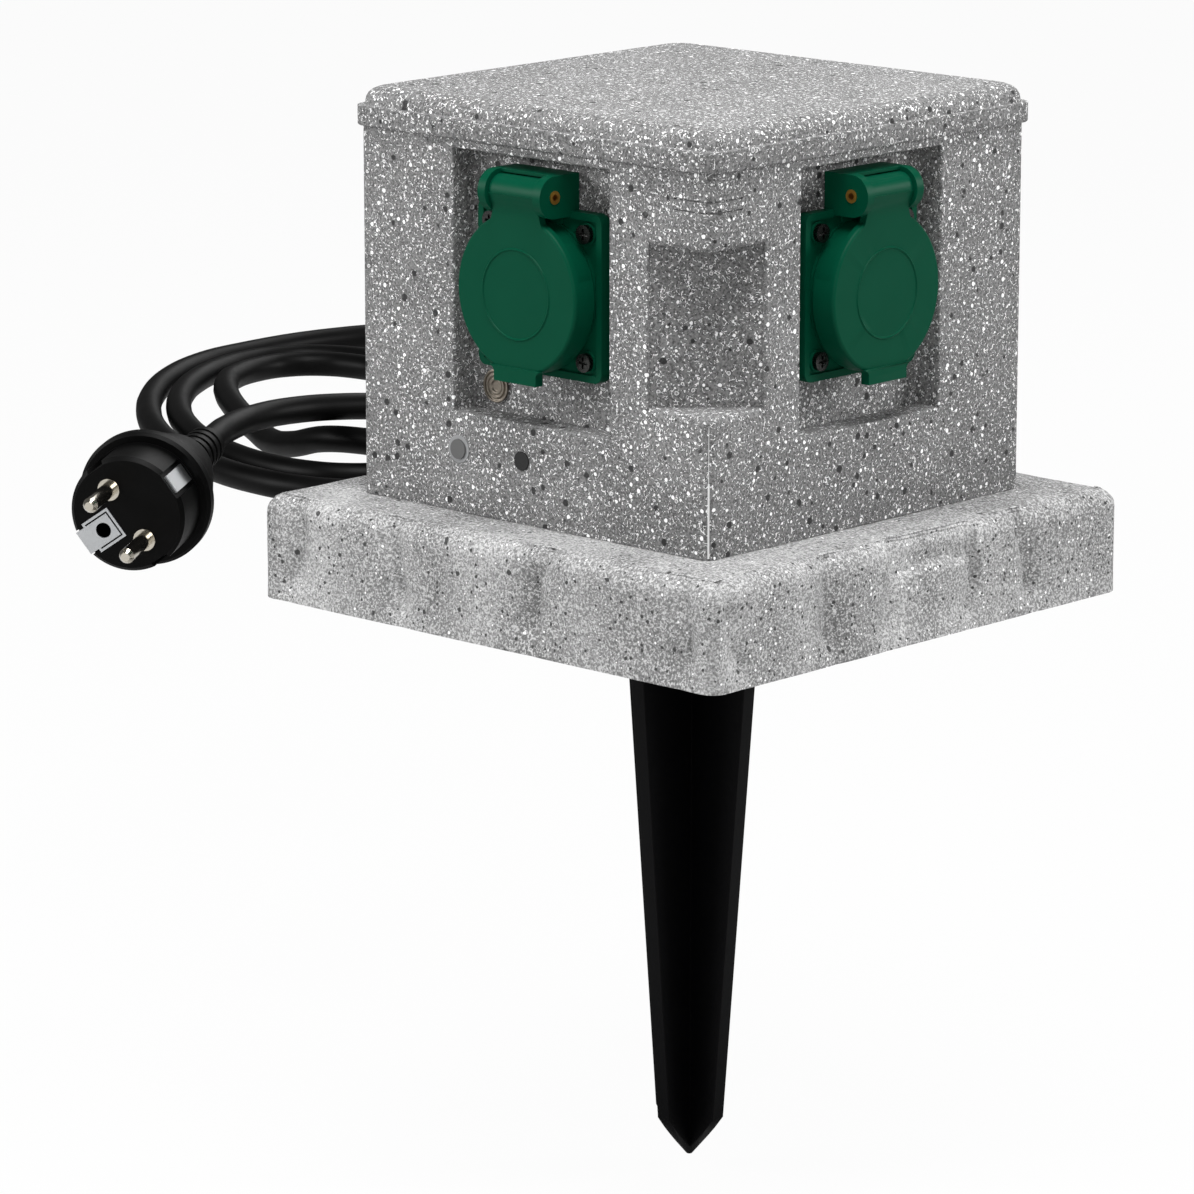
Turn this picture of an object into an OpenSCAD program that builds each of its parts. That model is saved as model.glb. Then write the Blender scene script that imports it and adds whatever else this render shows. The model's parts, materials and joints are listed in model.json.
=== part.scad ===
// Garden socket: a stone-look square post on a slab with a ground spike, four
// lidded sockets and a rubber lead.
// The origin is on the ground, in the middle of the slab's underside, with Z up.
// Side 0 faces -Y and has the push button, side 1 faces +X, side 2 +Y, side 3 -X.
// Each side is drawn once, facing -Y: u runs to the right, d outward from the centre.

/* [Slab] */
// Side of the square slab
slab_side = 186; // [180:1:210]
// Height of the slab
slab_h = 32.5; // [30:0.5:40]
// Rounding of the slab's top edge
slab_edge_r = 6; // [3:0.5:8]
// Rounding of the slab's upright corners
slab_corner_r = 5; // [2:0.5:8]
// Thickness of the slab's side walls
slab_wall = 5; // [4.5:0.5:7]
// Thickness of the slab's top
slab_top_t = 3; // [2.5:0.5:4]
// Depth of the hewn hollows in the slab's sides
hewn_depth = 1.2; // [0.6:0.2:1.6]
// Thickness of the bottom plate
bottom_t = 3; // [2.5:0.5:4]

/* [Housing] */
// Side of the square housing
house_side = 142; // [138:1:150]
// Height of the housing, from the slab's top to the cap
house_h = 112.5; // [108:0.5:125]
// Wall of the housing
wall = 3; // [2.5:0.5:3.5]
// Width of each socket recess
recess_w = 63; // [60:0.5:66]
// Height of each socket recess
recess_h = 79; // [77:0.5:82]
// Depth of each socket recess
recess_depth = 8.5; // [7.5:0.5:10]
// Width of the hand grip across a corner
grip_w = 32.5; // [28:0.5:36]
// Height of the hand grip
grip_h = 48; // [40:1:56]
// How far the grip's floor lies in from the sharp corner
grip_depth = 19; // [16:0.5:20]
// Height of the grip's middle above the ground
grip_z = 98; // [94:1:102]
// Radius of the posts that take the body screws
post_r = 5; // [4.5:0.25:5.5]
// Distance of each post from the middle planes
post_at = 51; // [50:0.5:51]

/* [Cap] */
// Height of the cap
cap_h = 12; // [11:0.5:16]
// Height of the cap's rim
rim_h = 6.3; // [4:0.1:7]
// How far the rim stands out from the housing
rim_out = 2; // [1:0.25:3]
// Rounding of the cap's top edge
cap_edge_r = 5.5; // [3:0.5:7]
// Wall of the cap
cap_t = 3; // [2.5:0.5:3.5]

/* [Sockets] */
// Side of the square socket flange
flange_side = 50; // [49:0.5:52]
// Thickness of the flange
flange_t = 4.5; // [4:0.25:5]
// Distance between flange screws
screw_pitch = 38; // [38:0.5:40]
// Diameter of the plug well
well_d = 39.4; // [39:0.1:40]
// Depth of the plug well
well_depth = 17.5; // [17:0.5:19]
// Wall of the collar round the well
collar_t = 2.3; // [2:0.1:2.4]
// How far the collar stands out from the flange
collar_out = 6.2; // [5.8:0.1:6.6]
// Distance between the two contacts
contact_pitch = 19; // [19:0.1:19.5]
// Diameter of a contact's bore
contact_bore_d = 4.9; // [4.8:0.05:5.1]
// Depth of the socket's body behind the flange
socket_back = 33; // [30:0.5:36]

/* [Lids] */
// Diameter of a lid
lid_d = 48; // [47.6:0.2:48.4]
// Thickness of the lid's front
lid_t = 2.4; // [2:0.1:2.6]
// Length of the lid's skirt
skirt_h = 8; // [7:0.1:8]
// Thickness of the skirt
skirt_t = 1.5; // [1.2:0.1:1.6]
// Width of the lid's neck
neck_w = 18.4; // [16:0.2:19]
// Radius of the lid's knuckle on the pin
knuckle_r = 5; // [4.8:0.1:5.2]
// Diameter of the hinge pin
pin_d = 4; // [3.6:0.1:4.2]
// Distance of the hinge pin in front of the flange
pin_out = 6.7; // [6.5:0.1:7.2]
// Height of the hinge pin above the well's middle
pin_up = 29.7; // [29.4:0.1:30.2]
// Width of the thumb tab
tab_w = 17; // [14:0.5:19]
// How far the thumb tab reaches past the lid
tab_out = 2.7; // [2:0.1:3.5]
// Radius of the hinge ears
ear_r = 6.3; // [6.1:0.1:6.5]
// Thickness of a hinge ear
ear_t = 3; // [2.6:0.1:3.4]

/* [Controls] */
// Diameter of the push button
button_d = 6; // [5:0.25:7]
// Travel of the push button
button_travel = 1; // [0.8:0.1:1.2]
// Diameter of the light sensor's window
window_d = 5.8; // [5:0.2:7]
// Drop from the recess's lower edge to the middle of the button and window
controls_drop = 11.5; // [10:0.5:13]

/* [Spike] */
// Length of the ground spike below the slab
spike_len = 180; // [160:1:220]
// Width of the spike's blades at the top
spike_top_w = 52; // [46:1:56]
// Width of the blades where the point starts
spike_low_w = 24; // [20:1:30]
// Height of the point
spike_point_h = 14; // [10:1:18]
// Thickness of the blades
blade_t = 5; // [4:0.25:6]
// Diameter of the threaded stud
stud_d = 12; // [10:0.5:14]

/* [Lead and plug] */
// Diameter of the rubber lead
cord_d = 9; // [8:0.25:9.2]
// Diameter of the plug's pins
plug_pin_d = 4.8; // [4.7:0.05:4.9]
// Length of the plug's pins
plug_pin_len = 19; // [18.5:0.25:19.5]
// Diameter of the plug's front
plug_d = 36.8; // [36:0.2:37.4]
// Diameter of the plug's hand collar
plug_collar_d = 43; // [42:0.5:43.5]
// Length of the plug behind its face, with the strain relief
plug_len = 79; // [76:1:84]

/* [Clearances] */
// Running gap of the lid's bore on the pin, and of the button in its hole
run_gap = 0.05; // [0.03:0.01:0.1]
// Gap between pieces that move past each other
move_gap = 0.4; // [0.3:0.05:0.6]
// Gap round a piece that drops into its seat
seat_gap = 0.2; // [0.1:0.05:0.3]

/* [Hidden] */
$fn = 48;
e = 0.05;

slab_r = slab_side / 2;
house_r = house_side / 2;
house_top = slab_h + house_h;
cap_top = house_top + cap_h;
rim_r = house_r + rim_out;
inner_r = house_r - wall;
floor_d = house_r - recess_depth;
flange_d = floor_d + flange_t;
collar_d = flange_d + collar_out;
socket_z = house_top - wall - recess_h / 2;
recess_z0 = socket_z - recess_h / 2;
controls_z = recess_z0 - controls_drop;
well_r = well_d / 2;
collar_r = well_r + collar_t;
well_floor = collar_d - well_depth;
socket_end = flange_d - socket_back;
body_r = collar_r - 0.8;
contact_r = contact_bore_d / 2 + 0.75;
pin_r = pin_d / 2;
axis_d = flange_d + pin_out;
axis_z = socket_z + pin_up;
lid_back = collar_d + 1.4;
lid_front = lid_back + lid_t;
lid_r = lid_d / 2;
seal_t = lid_back - collar_d - 0.3;
ear_in = neck_w / 2 + move_gap;
ear_out = ear_in + ear_t;
screw_at = screw_pitch / 2;
flange_screw_r = 1.3;
flange_head_r = 2.8;
cap_wall_r = 2.5;
screw_r = 2;
bottom_r = slab_r - slab_wall - seat_gap;
bottom_screw_at = slab_r - slab_wall - 9;
slab_hole = 88;
bottom_post_r = 6;
bottom_screw_r = 1.6;
bottom_screw_len = 13;
bottom_head_r = 3.2;
nut_z = bottom_t + 5;
nut_t = 8;
washer_t = 1.5;
gland_y = 36;
gland_z = 17;
gland_r = 8;
cord_r = cord_d / 2;
cord_hole_r = cord_r + seat_gap;
gland_hex_t = 6;
gland_nut_len = 15;
gland_mouth = slab_r + gland_hex_t + gland_nut_len;

// Places a side's pieces on side number i.
module on_side(i) { rotate([0, 0, 90 * i]) children(); }

// A block between two corners, as u, d and z.
module block(u0, u1, d0, d1, z0, z1) {
    translate([u0, -d1, z0]) cube([u1 - u0, d1 - d0, z1 - z0]);
}

// A round bar that points outward from d0 to d1.
module bar(u, z, d0, d1, r) {
    translate([u, -d0, z]) rotate([90, 0, 0]) cylinder(h = d1 - d0, r = r);
}

// A round bar along the hinge axis.
module axle(u0, u1, r) {
    translate([u0, -axis_d, axis_z]) rotate([0, 90, 0]) cylinder(h = u1 - u0, r = r);
}

// An upright square plate with rounded corners.
module square_plate(half, corner_r, z0, z1) {
    translate([-half + corner_r, -half, z0]) cube([2 * (half - corner_r), 2 * half, z1 - z0]);
    translate([-half, -half + corner_r, z0]) cube([2 * half, 2 * (half - corner_r), z1 - z0]);
    for (x = [-1, 1], y = [-1, 1])
        translate([x * (half - corner_r), y * (half - corner_r), z0]) cylinder(h = z1 - z0, r = corner_r);
}

// The outline of a block with rounded top edges, seen from one side.
module soft_profile(half, height, edge_r) {
    translate([-half, 0]) square([2 * half, height - edge_r]);
    translate([-half + edge_r, 0]) square([2 * (half - edge_r), height]);
    for (x = [-1, 1])
        translate([x * (half - edge_r), height - edge_r]) circle(r = edge_r);
}

// A square block with rounded upright corners and rounded top edges.
module soft_block(half, corner_r, edge_r, z0, z1) {
    intersection() {
        square_plate(half, corner_r, z0, z1);
        translate([0, half + 1, z0]) rotate([90, 0, 0])
            linear_extrude(2 * half + 2) soft_profile(half, z1 - z0, edge_r);
        translate([-half - 1, 0, z0]) rotate([90, 0, 90])
            linear_extrude(2 * half + 2) soft_profile(half, z1 - z0, edge_r);
    }
}

// Hewn dishes along one side of the slab: place along the side, height, width.
hewn = [[-76, 15, 30], [-50, 18, 34], [-22, 14, 32], [4, 17, 28], [34, 13, 36], [62, 18, 30], [82, 14, 22]];
// The scooped notch in the top edge of side 1.
notch_u = 3;
notch_r = 55;
notch_foot = 20;
notch_depth = 3;
function dish_r(w, depth) = (w * w / 4 + depth * depth) / (2 * depth);

// Side 3 keeps its face flat round the gland.
module hewn_dishes(side) for (h = hewn) if (side != 3 || abs(h[0] + gland_y) > 30)
    translate([h[0], -slab_r - dish_r(h[2], hewn_depth) + hewn_depth, h[1]])
        sphere(r = dish_r(h[2], hewn_depth), $fn = 200);

module scooped_notch()
    translate([notch_u, -slab_r - notch_r + notch_depth, notch_foot])
        cylinder(h = slab_h, r = notch_r, $fn = 96);

module base_slab() color("darkgray") difference() {
    union() {
        difference() {
            soft_block(slab_r, slab_corner_r, slab_edge_r, 0, slab_h);
            for (i = [0 : 3]) on_side(i) hewn_dishes(i);
            on_side(1) scooped_notch();
            translate([0, 0, -e]) linear_extrude(slab_h - slab_top_t + e)
                square(2 * (slab_r - slab_wall), center = true);
        }
        for (x = [-1, 1], y = [-1, 1])
            translate([x * bottom_screw_at, y * bottom_screw_at, bottom_t])
                cylinder(h = slab_h - bottom_t - 1, r = bottom_post_r);
    }
    translate([0, 0, slab_h - slab_top_t - e]) linear_extrude(slab_top_t + 2 * e)
        square(slab_hole, center = true);
    for (x = [-1, 1], y = [-1, 1]) {
        translate([x * post_at, y * post_at, slab_h - slab_top_t - e])
            cylinder(h = slab_top_t + 2 * e, r = screw_r + seat_gap);
        translate([x * bottom_screw_at, y * bottom_screw_at, -e])
            cylinder(h = bottom_screw_len + 1, r = bottom_screw_r);
    }
    translate([-slab_r - e, gland_y, gland_z]) rotate([0, 90, 0])
        cylinder(h = slab_wall + 2 * e, r = gland_r);
}

module bottom_plate() color("dimgray") difference() {
    union() {
        translate([-bottom_r, -bottom_r, 0]) cube([2 * bottom_r, 2 * bottom_r, bottom_t]);
        cylinder(h = nut_z, r = stud_d / 2 + 5);
    }
    translate([0, 0, -e]) cylinder(h = nut_z + 1, r = stud_d / 2 + seat_gap);
    for (x = [-1, 1], y = [-1, 1]) translate([x * bottom_screw_at, y * bottom_screw_at, 0]) {
        translate([0, 0, -e]) cylinder(h = bottom_t + 2 * e, r = bottom_screw_r + seat_gap);
        translate([0, 0, -e]) cylinder(h = 2 + e, r = bottom_head_r + seat_gap);
    }
}

module bottom_screws() color("silver")
    for (x = [-1, 1], y = [-1, 1]) translate([x * bottom_screw_at, y * bottom_screw_at, 0]) difference() {
        union() {
            cylinder(h = 2, r = bottom_head_r);
            cylinder(h = bottom_screw_len, r = bottom_screw_r);
        }
        for (a = [0, 90]) rotate([0, 0, a]) translate([-1.6, -0.4, -e]) cube([3.2, 0.8, 1]);
    }

// The box round one recess, standing inside the wall.
module recess_box() {
    block(-recess_w / 2 - wall, recess_w / 2 + wall, floor_d - wall, house_r - e,
        recess_z0 - wall, house_top);
}

// What is cut out of the housing on every side.
module recess_cuts() {
    block(-recess_w / 2, recess_w / 2, floor_d, house_r + e, recess_z0, recess_z0 + recess_h);
    bar(0, socket_z, floor_d - wall - e, floor_d + e, body_r + seat_gap);
    for (u = [-1, 1], z = [-1, 1])
        bar(u * screw_at, socket_z + z * screw_at, floor_d - wall - e, floor_d + e, flange_screw_r);
}

// A box across one corner of the housing, from a given distance outward.
module corner_box(a, half_w, half_h, from) {
    rotate([0, 0, a]) translate([from, -half_w, grip_z - half_h]) cube([60, 2 * half_w, 2 * half_h]);
}

grip_floor = house_r * sqrt(2) - grip_depth;
grip_angles = [-45, 135];
button_u = -29.5;
window_u = -3.5;
boss_u = -21.8;
boss_z = socket_z - 32;
boss_r = 1.5;
boss_ring_t = 0.8;
ring_t = 1;
ring_w = 1.2;

module housing() color("gray") difference() {
    union() {
        difference() {
            translate([-house_r, -house_r, slab_h]) cube([house_side, house_side, house_h]);
            difference() {
                translate([-inner_r, -inner_r, slab_h - e]) cube([2 * inner_r, 2 * inner_r, house_h + 2 * e]);
                for (a = grip_angles) corner_box(a, grip_w / 2 + wall, grip_h / 2 + wall, grip_floor - wall);
            }
        }
        for (i = [0 : 3]) on_side(i) recess_box();
        for (x = [-1, 1], y = [-1, 1]) translate([x * post_at, y * post_at, slab_h]) {
            cylinder(h = house_h, r = post_r);
            rotate([0, 0, atan2(y, x)]) translate([0, -1, 0])
                cube([(inner_r - post_at) * sqrt(2) + 1, 2, 8]);
        }
    }
    for (i = [0 : 3]) on_side(i) recess_cuts();
    for (a = grip_angles) corner_box(a, grip_w / 2, grip_h / 2, grip_floor);
    for (x = [-1, 1], y = [-1, 1])
        translate([x * post_at, y * post_at, slab_h - e])
            cylinder(h = house_h + 2 * e, r = screw_r + seat_gap);
    bar(button_u, controls_z, inner_r - e, house_r + e, button_d / 2 + run_gap);
    bar(button_u, controls_z, house_r - ring_t, house_r + e, button_d / 2 + ring_w);
    bar(window_u, controls_z, inner_r - e, house_r + e, window_d / 2);
    bar(boss_u, boss_z, floor_d - wall - e, floor_d + e, boss_r);
}

cap_inner = inner_r - cap_wall_r;
seal_in = house_r - wall + 0.6;
seal_out = seal_in + 1.8;
seal_h = 1.2;

module square_ring(out, inn, z0, z1) difference() {
    translate([-out, -out, z0]) cube([2 * out, 2 * out, z1 - z0]);
    translate([-inn, -inn, z0 - e]) cube([2 * inn, 2 * inn, z1 - z0 + 2 * e]);
}

module cap() color("lightgray") difference() {
    union() {
        difference() {
            union() {
                soft_block(house_r, 3, cap_edge_r, house_top, cap_top);
                square_plate(rim_r, 4, house_top, house_top + rim_h);
            }
            translate([-cap_inner, -cap_inner, house_top - e])
                cube([2 * cap_inner, 2 * cap_inner, cap_h - cap_t]);
        }
        for (x = [-1, 1], y = [-1, 1]) {
            translate([x * post_at, y * post_at, house_top]) cylinder(h = cap_h - 1, r = post_r);
            translate([x * (cap_inner - 4) - 4, y * (cap_inner - 4) - 4, house_top - 4]) cube([8, 8, 8]);
        }
    }
    square_ring(seal_out, seal_in, house_top - e, house_top + seal_h);
    for (x = [-1, 1], y = [-1, 1]) translate([x * post_at, y * post_at, house_top - e])
        cylinder(h = 6, r = screw_r);
}

module cap_seal() color("black") square_ring(seal_out, seal_in, house_top, house_top + seal_h);

module body_screws() color("silver") for (x = [-1, 1], y = [-1, 1])
    translate([x * post_at, y * post_at, slab_h - slab_top_t]) difference() {
        union() {
            translate([0, 0, -3]) cylinder(h = 3, r = 4);
            cylinder(h = house_h + slab_top_t + 5.5, r = screw_r);
        }
        for (a = [0, 90]) rotate([0, 0, a]) translate([-2.2, -0.5, -3 - e]) cube([4.4, 1, 1.5]);
    }

spike_plate_t = 4;
spike_plate_r = 30;
module blade() {
    translate([0, blade_t / 2, 0]) rotate([90, 0, 0]) linear_extrude(blade_t)
        polygon([[-spike_top_w / 2, -spike_plate_t], [-spike_low_w / 2, spike_point_h - spike_len],
            [-1, -spike_len], [1, -spike_len],
            [spike_low_w / 2, spike_point_h - spike_len], [spike_top_w / 2, -spike_plate_t]]);
}

module ground_spike() color("black") {
    intersection() {
        union() {
            blade();
            rotate([0, 0, 90]) blade();
        }
        union() {
            translate([0, 0, -spike_len]) cylinder(h = spike_point_h, r1 = 0.8, r2 = spike_low_w / 2 + 0.5);
            translate([0, 0, spike_point_h - spike_len]) cylinder(h = spike_len, r = spike_top_w);
        }
    }
    translate([0, 0, -spike_plate_t]) cylinder(h = spike_plate_t, r = spike_plate_r);
    cylinder(h = nut_z + washer_t + nut_t + 3, r = stud_d / 2);
}

module spike_washer() color("silver") difference() {
    translate([0, 0, nut_z]) cylinder(h = washer_t, r = stud_d / 2 + 5.5);
    translate([0, 0, nut_z - e]) cylinder(h = washer_t + 2 * e, r = stud_d / 2 + seat_gap);
}

module spike_nut() color("goldenrod") difference() {
    translate([0, 0, nut_z + washer_t]) cylinder(h = nut_t, r = stud_d / 2 + 4.5, $fn = 6);
    translate([0, 0, nut_z]) cylinder(h = nut_t + 3, r = stud_d / 2 + run_gap);
}

// Sockets
rib_w = 5;
clip_w = 5;
clip_t = 0.8;
clip_at = well_r - 1.4;
hood_back = 0.5;
module socket_shell() difference() {
    union() {
        for (w = [0, 1])
            block(-flange_side / 2 + 3 * w, flange_side / 2 - 3 * w, floor_d + gasket_t, flange_d,
                socket_z - flange_side / 2 + 3 * (1 - w), socket_z + flange_side / 2 - 3 * (1 - w));
        for (u = [-1, 1], z = [-1, 1])
            bar(u * (flange_side / 2 - 3), socket_z + z * (flange_side / 2 - 3), floor_d + gasket_t,
                flange_d, 3);
        bar(0, socket_z, floor_d, collar_d, collar_r);
        bar(0, socket_z, socket_end, floor_d + 1, body_r);
        for (u = [-ear_out, ear_in]) {
            axle(u, u + ear_t, ear_r);
            block(u, u + ear_t, floor_d + gasket_t, axis_d, axis_z - ear_r, axis_z + ear_r);
        }
        block(-ear_in - e, ear_in + e, floor_d + gasket_t, axis_d - knuckle_r - move_gap - 0.6,
            socket_z + flange_side / 2 - 4, axis_z + ear_r);
        // the hood over the back of the knuckle
        block(-ear_in - e, ear_in + e, axis_d - knuckle_r - move_gap - 0.6 - e, axis_d - hood_back,
            axis_z + knuckle_r + move_gap, axis_z + ear_r);
    }
    bar(0, socket_z, well_floor, collar_d + e, well_r);
    for (u = [-1, 1]) {
        bar(u * contact_pitch / 2, socket_z, well_floor - 3 - e, well_floor + e, contact_bore_d / 2 + 0.1);
        bar(u * contact_pitch / 2, socket_z, socket_end - e, well_floor - 3, contact_r + run_gap);
        for (z = [-1, 1]) bar(u * screw_at, socket_z + z * screw_at, floor_d, flange_d + e,
            flange_screw_r + 0.3);
    }
    for (z = [-1, 1])
        block(-clip_w / 2 - 0.1, clip_w / 2 + 0.1, well_floor - 8, well_floor + e,
            socket_z + z * clip_at - clip_t / 2 - 0.1, socket_z + z * clip_at + clip_t / 2 + 0.1);
    axle(-ear_out - e, ear_out + e, pin_r);
    // the raised border of the flange
    difference() {
        block(-flange_side / 2 + 2.2, flange_side / 2 - 2.2, flange_d - 0.8, flange_d + e,
            socket_z - flange_side / 2 + 2.2, socket_z + flange_side / 2 - 2.2);
        bar(0, socket_z, flange_d - 1, flange_d + 1, collar_r + 0.6);
        block(-ear_out, ear_out, flange_d - 1, flange_d + 1, axis_z - ear_r, axis_z);
        for (u = [-1, 1], z = [-1, 1])
            bar(u * screw_at, socket_z + z * screw_at, flange_d - 1, flange_d + 1, flange_head_r + 0.5);
    }
}

module socket() color("darkgreen") {
    socket_shell();
    for (u = [-1, 1]) intersection() {
        bar(0, socket_z, well_floor - e, collar_d - 4, well_r + 0.5);
        block(u * (well_r - 0.9) - 1.3, u * (well_r - 0.9) + 1.3, well_floor - e, collar_d - 4,
            socket_z - rib_w / 2, socket_z + rib_w / 2);
    }
}

module contacts() color("goldenrod") for (u = [-1, 1]) difference() {
    bar(u * contact_pitch / 2, socket_z, socket_end + 1, well_floor - 3, contact_r);
    bar(u * contact_pitch / 2, socket_z, socket_end + 2.2, well_floor, contact_bore_d / 2);
}

module earth_clips() color("silver") for (z = [-1, 1])
    block(-clip_w / 2, clip_w / 2, well_floor - 7.9, collar_d - 3,
        socket_z + z * clip_at - clip_t / 2, socket_z + z * clip_at + clip_t / 2);

module hinge_pin() color("gold") difference() {
    axle(-ear_out - 0.3, ear_out + 0.3, pin_r);
    axle(-ear_out - 1, -ear_out + 4, pin_r / 2);
    axle(ear_out - 4, ear_out + 1, pin_r / 2);
}

spring_half = 4.6;
leg_len = 8;
module lid_spring() color("silver") difference() {
    union() {
        axle(-spring_half, spring_half, pin_r + 1.3);
        translate([-spring_half, -axis_d, axis_z]) rotate([45, 0, 0]) translate([0, 0, -leg_len])
            cube([1, 0.9, leg_len - pin_r - 0.6]);
    }
    axle(-spring_half - 1, spring_half + 1, pin_r + run_gap);
}

lip_r = 2.2;
module lid_disc() translate([0, -lid_front, socket_z]) rotate([-90, 0, 0]) rotate_extrude($fn = 96) {
    square([lid_r - lip_r, lid_t]);
    translate([0, lip_r]) square([lid_r, lid_t - lip_r]);
    translate([lid_r - lip_r, lip_r]) intersection() {
        circle(r = lip_r, $fn = 48);
        translate([0, -lip_r]) square([lip_r, lip_r]);
    }
    translate([lid_r - skirt_t, lip_r]) square([skirt_t, skirt_h - lip_r]);
}

module lid() color("darkgreen") difference() {
    union() {
        difference() {
            lid_disc();
            block(-lid_r - 1, lid_r + 1, lid_front - skirt_h - e, lid_back, socket_z + 6.5,
                socket_z + lid_r + 1);
        }
        translate([-neck_w / 2, 0, 0]) rotate([90, 0, 90]) linear_extrude(neck_w)
            polygon([[-lid_back, socket_z + 14], [-lid_front, socket_z + 14], [-lid_front, socket_z + 18],
                [-axis_d - knuckle_r + 0.1, axis_z - 1], [-axis_d - knuckle_r + 0.1, axis_z],
                [-axis_d, axis_z], [-axis_d, axis_z - knuckle_r + 0.3], [-lid_back, axis_z - knuckle_r - 1]]);
        axle(-neck_w / 2, neck_w / 2, knuckle_r);
        block(-tab_w / 2, tab_w / 2, lid_back, lid_front + 0.6,
            socket_z - lid_r - tab_out + 0.4, socket_z - lid_r * cos(asin(tab_w / lid_d)) + 1.5);
    }
    axle(-neck_w / 2 - 1, neck_w / 2 + 1, pin_r + run_gap);
    axle(-spring_half - move_gap, spring_half + move_gap, knuckle_r - 1.3);
    block(-spring_half - move_gap, spring_half + move_gap, axis_d - knuckle_r - 1, axis_d,
        axis_z - knuckle_r - 1, axis_z + knuckle_r + 1);
    bar(0, socket_z, lid_front - 0.4, lid_front + 1, 14);
}

module lid_seal() color("black") difference() {
    bar(0, socket_z, lid_back - seal_t, lid_back, collar_r + 0.2);
    bar(0, socket_z, lid_back - seal_t - 1, lid_back + 1, well_r + 0.2);
}

gasket_t = 0.8;
module flange_gaskets() color("black") for (i = [0 : 3]) on_side(i) difference() {
    block(-flange_side / 2 + 1, flange_side / 2 - 1, floor_d, floor_d + gasket_t,
        socket_z - flange_side / 2 + 1, socket_z + flange_side / 2 - 1);
    bar(0, socket_z, floor_d - 1, floor_d + 2, collar_r);
    for (u = [-1, 1], z = [-1, 1])
        bar(u * screw_at, socket_z + z * screw_at, floor_d - 1, floor_d + 2, flange_screw_r + 0.3);
}

// A cross-headed screw that points inward, its head seated at d.
module wall_screw(u, z, d, head_r, shank_r, len) difference() {
    union() {
        bar(u, z, d, d + 1.6, head_r);
        bar(u, z, d - len, d + e, shank_r);
    }
    block(u - 1.7, u + 1.7, d + 0.8, d + 2, z - 0.4, z + 0.4);
    block(u - 0.4, u + 0.4, d + 0.8, d + 2, z - 1.7, z + 1.7);
}

module flange_screws() color("silver") for (i = [0 : 3]) on_side(i)
    for (u = [-1, 1], z = [-1, 1])
        wall_screw(u * screw_at, socket_z + z * screw_at, flange_d, flange_head_r, flange_screw_r, 9);

module recess_screw() color("lightgray") {
    difference() {
        bar(boss_u, boss_z, floor_d, floor_d + boss_ring_t, 5);
        bar(boss_u, boss_z, floor_d - 1, floor_d + 2, boss_r + seat_gap);
    }
    wall_screw(boss_u, boss_z, floor_d + boss_ring_t, 3.3, boss_r, 8);
}

// Controls
button_out = 0.7;
switch_d = inner_r - 6;
module push_button() color("gray") union() {
    bar(button_u, controls_z, switch_d + button_travel + 0.3, house_r + button_out, button_d / 2);
    bar(button_u, controls_z, inner_r - 2.4, inner_r - move_gap, button_d / 2 + 1);
}

module button_ring() color("white") difference() {
    bar(button_u, controls_z, house_r - ring_t, house_r + 0.2, button_d / 2 + ring_w);
    bar(button_u, controls_z, house_r - 2, house_r + 1, button_d / 2 + run_gap);
}

module sensor_window() color("black") union() {
    bar(window_u, controls_z, inner_r, house_r + 0.3, window_d / 2);
    bar(window_u, controls_z, inner_r - 1.5, inner_r, window_d / 2 + 1);
}

board_u = [-42, 10];
board_z = [slab_h + 6.5, recess_z0 - 4];
board_t = 1.6;
board_d = floor_d - wall - board_t - 1;
module control_board() color("green") union() {
    block(board_u[0], board_u[1], board_d, board_d + board_t, board_z[0], board_z[1]);
    block(button_u - 3, button_u + 3, board_d + board_t - e, switch_d, controls_z - 3, controls_z + 3);
    bar(window_u, controls_z, board_d + board_t - e, inner_r - 1.8, 2);
    for (u = board_u + [4, -4]) bar(u, board_z[0] + 3, board_d + board_t - e, inner_r, 2);
}

relay_size = [19, 15, 15];
relay_u = -36;
module relay() color("steelblue") block(relay_u, relay_u + relay_size[0], board_d - relay_size[1], board_d,
    board_z[0] + 3, board_z[0] + 3 + relay_size[2]);

// Gland
module side_bar(x0, x1, r, n = 48)
    translate([-x1, gland_y, gland_z]) rotate([0, 90, 0]) cylinder(h = x1 - x0, r = r, $fn = n);
module cable_gland() color("black") difference() {
    union() {
        side_bar(slab_r - 13, slab_r, gland_r);
        side_bar(slab_r, slab_r + gland_hex_t, gland_r + 3, 6);
        side_bar(slab_r + gland_hex_t - e, slab_r + gland_hex_t + 8, gland_r - 1);
    }
    side_bar(slab_r - 14, gland_mouth, cord_hole_r);
}

module gland_nut() color("black") difference() {
    translate([-slab_r - gland_hex_t, gland_y, gland_z]) rotate([0, -90, 0]) rotate_extrude()
        polygon([[0, 0], [gland_r + 2.2, 0], [gland_r + 2.2, 8], [gland_r, 12],
            [gland_r - 2, gland_nut_len], [0, gland_nut_len]]);
    side_bar(slab_r, slab_r + gland_hex_t + 8 + e, gland_r - 1);
    side_bar(slab_r, gland_mouth + 1, cord_hole_r);
}

module gland_locknut() color("black") difference() {
    side_bar(slab_r - slab_wall - 4, slab_r - slab_wall, gland_r + 3, 6);
    side_bar(slab_r - slab_wall - 5, slab_r, gland_r);
}

// Terminals and wires inside
block_x = [-48, -26];
block_y = [gland_y - 13, gland_y + 13];
block_z = 23;
wire_r = 1.3;
module terminal_block() color("ivory") difference() {
    translate([block_x[0], block_y[0], bottom_t])
        cube([block_x[1] - block_x[0], block_y[1] - block_y[0], block_z - bottom_t]);
    for (y = [-8, 0, 8], x = [block_x[0] + 5, block_x[1] - 5])
        translate([x, gland_y + y, block_z - 4]) cylinder(h = 5, r = 1.8);
}

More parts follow.
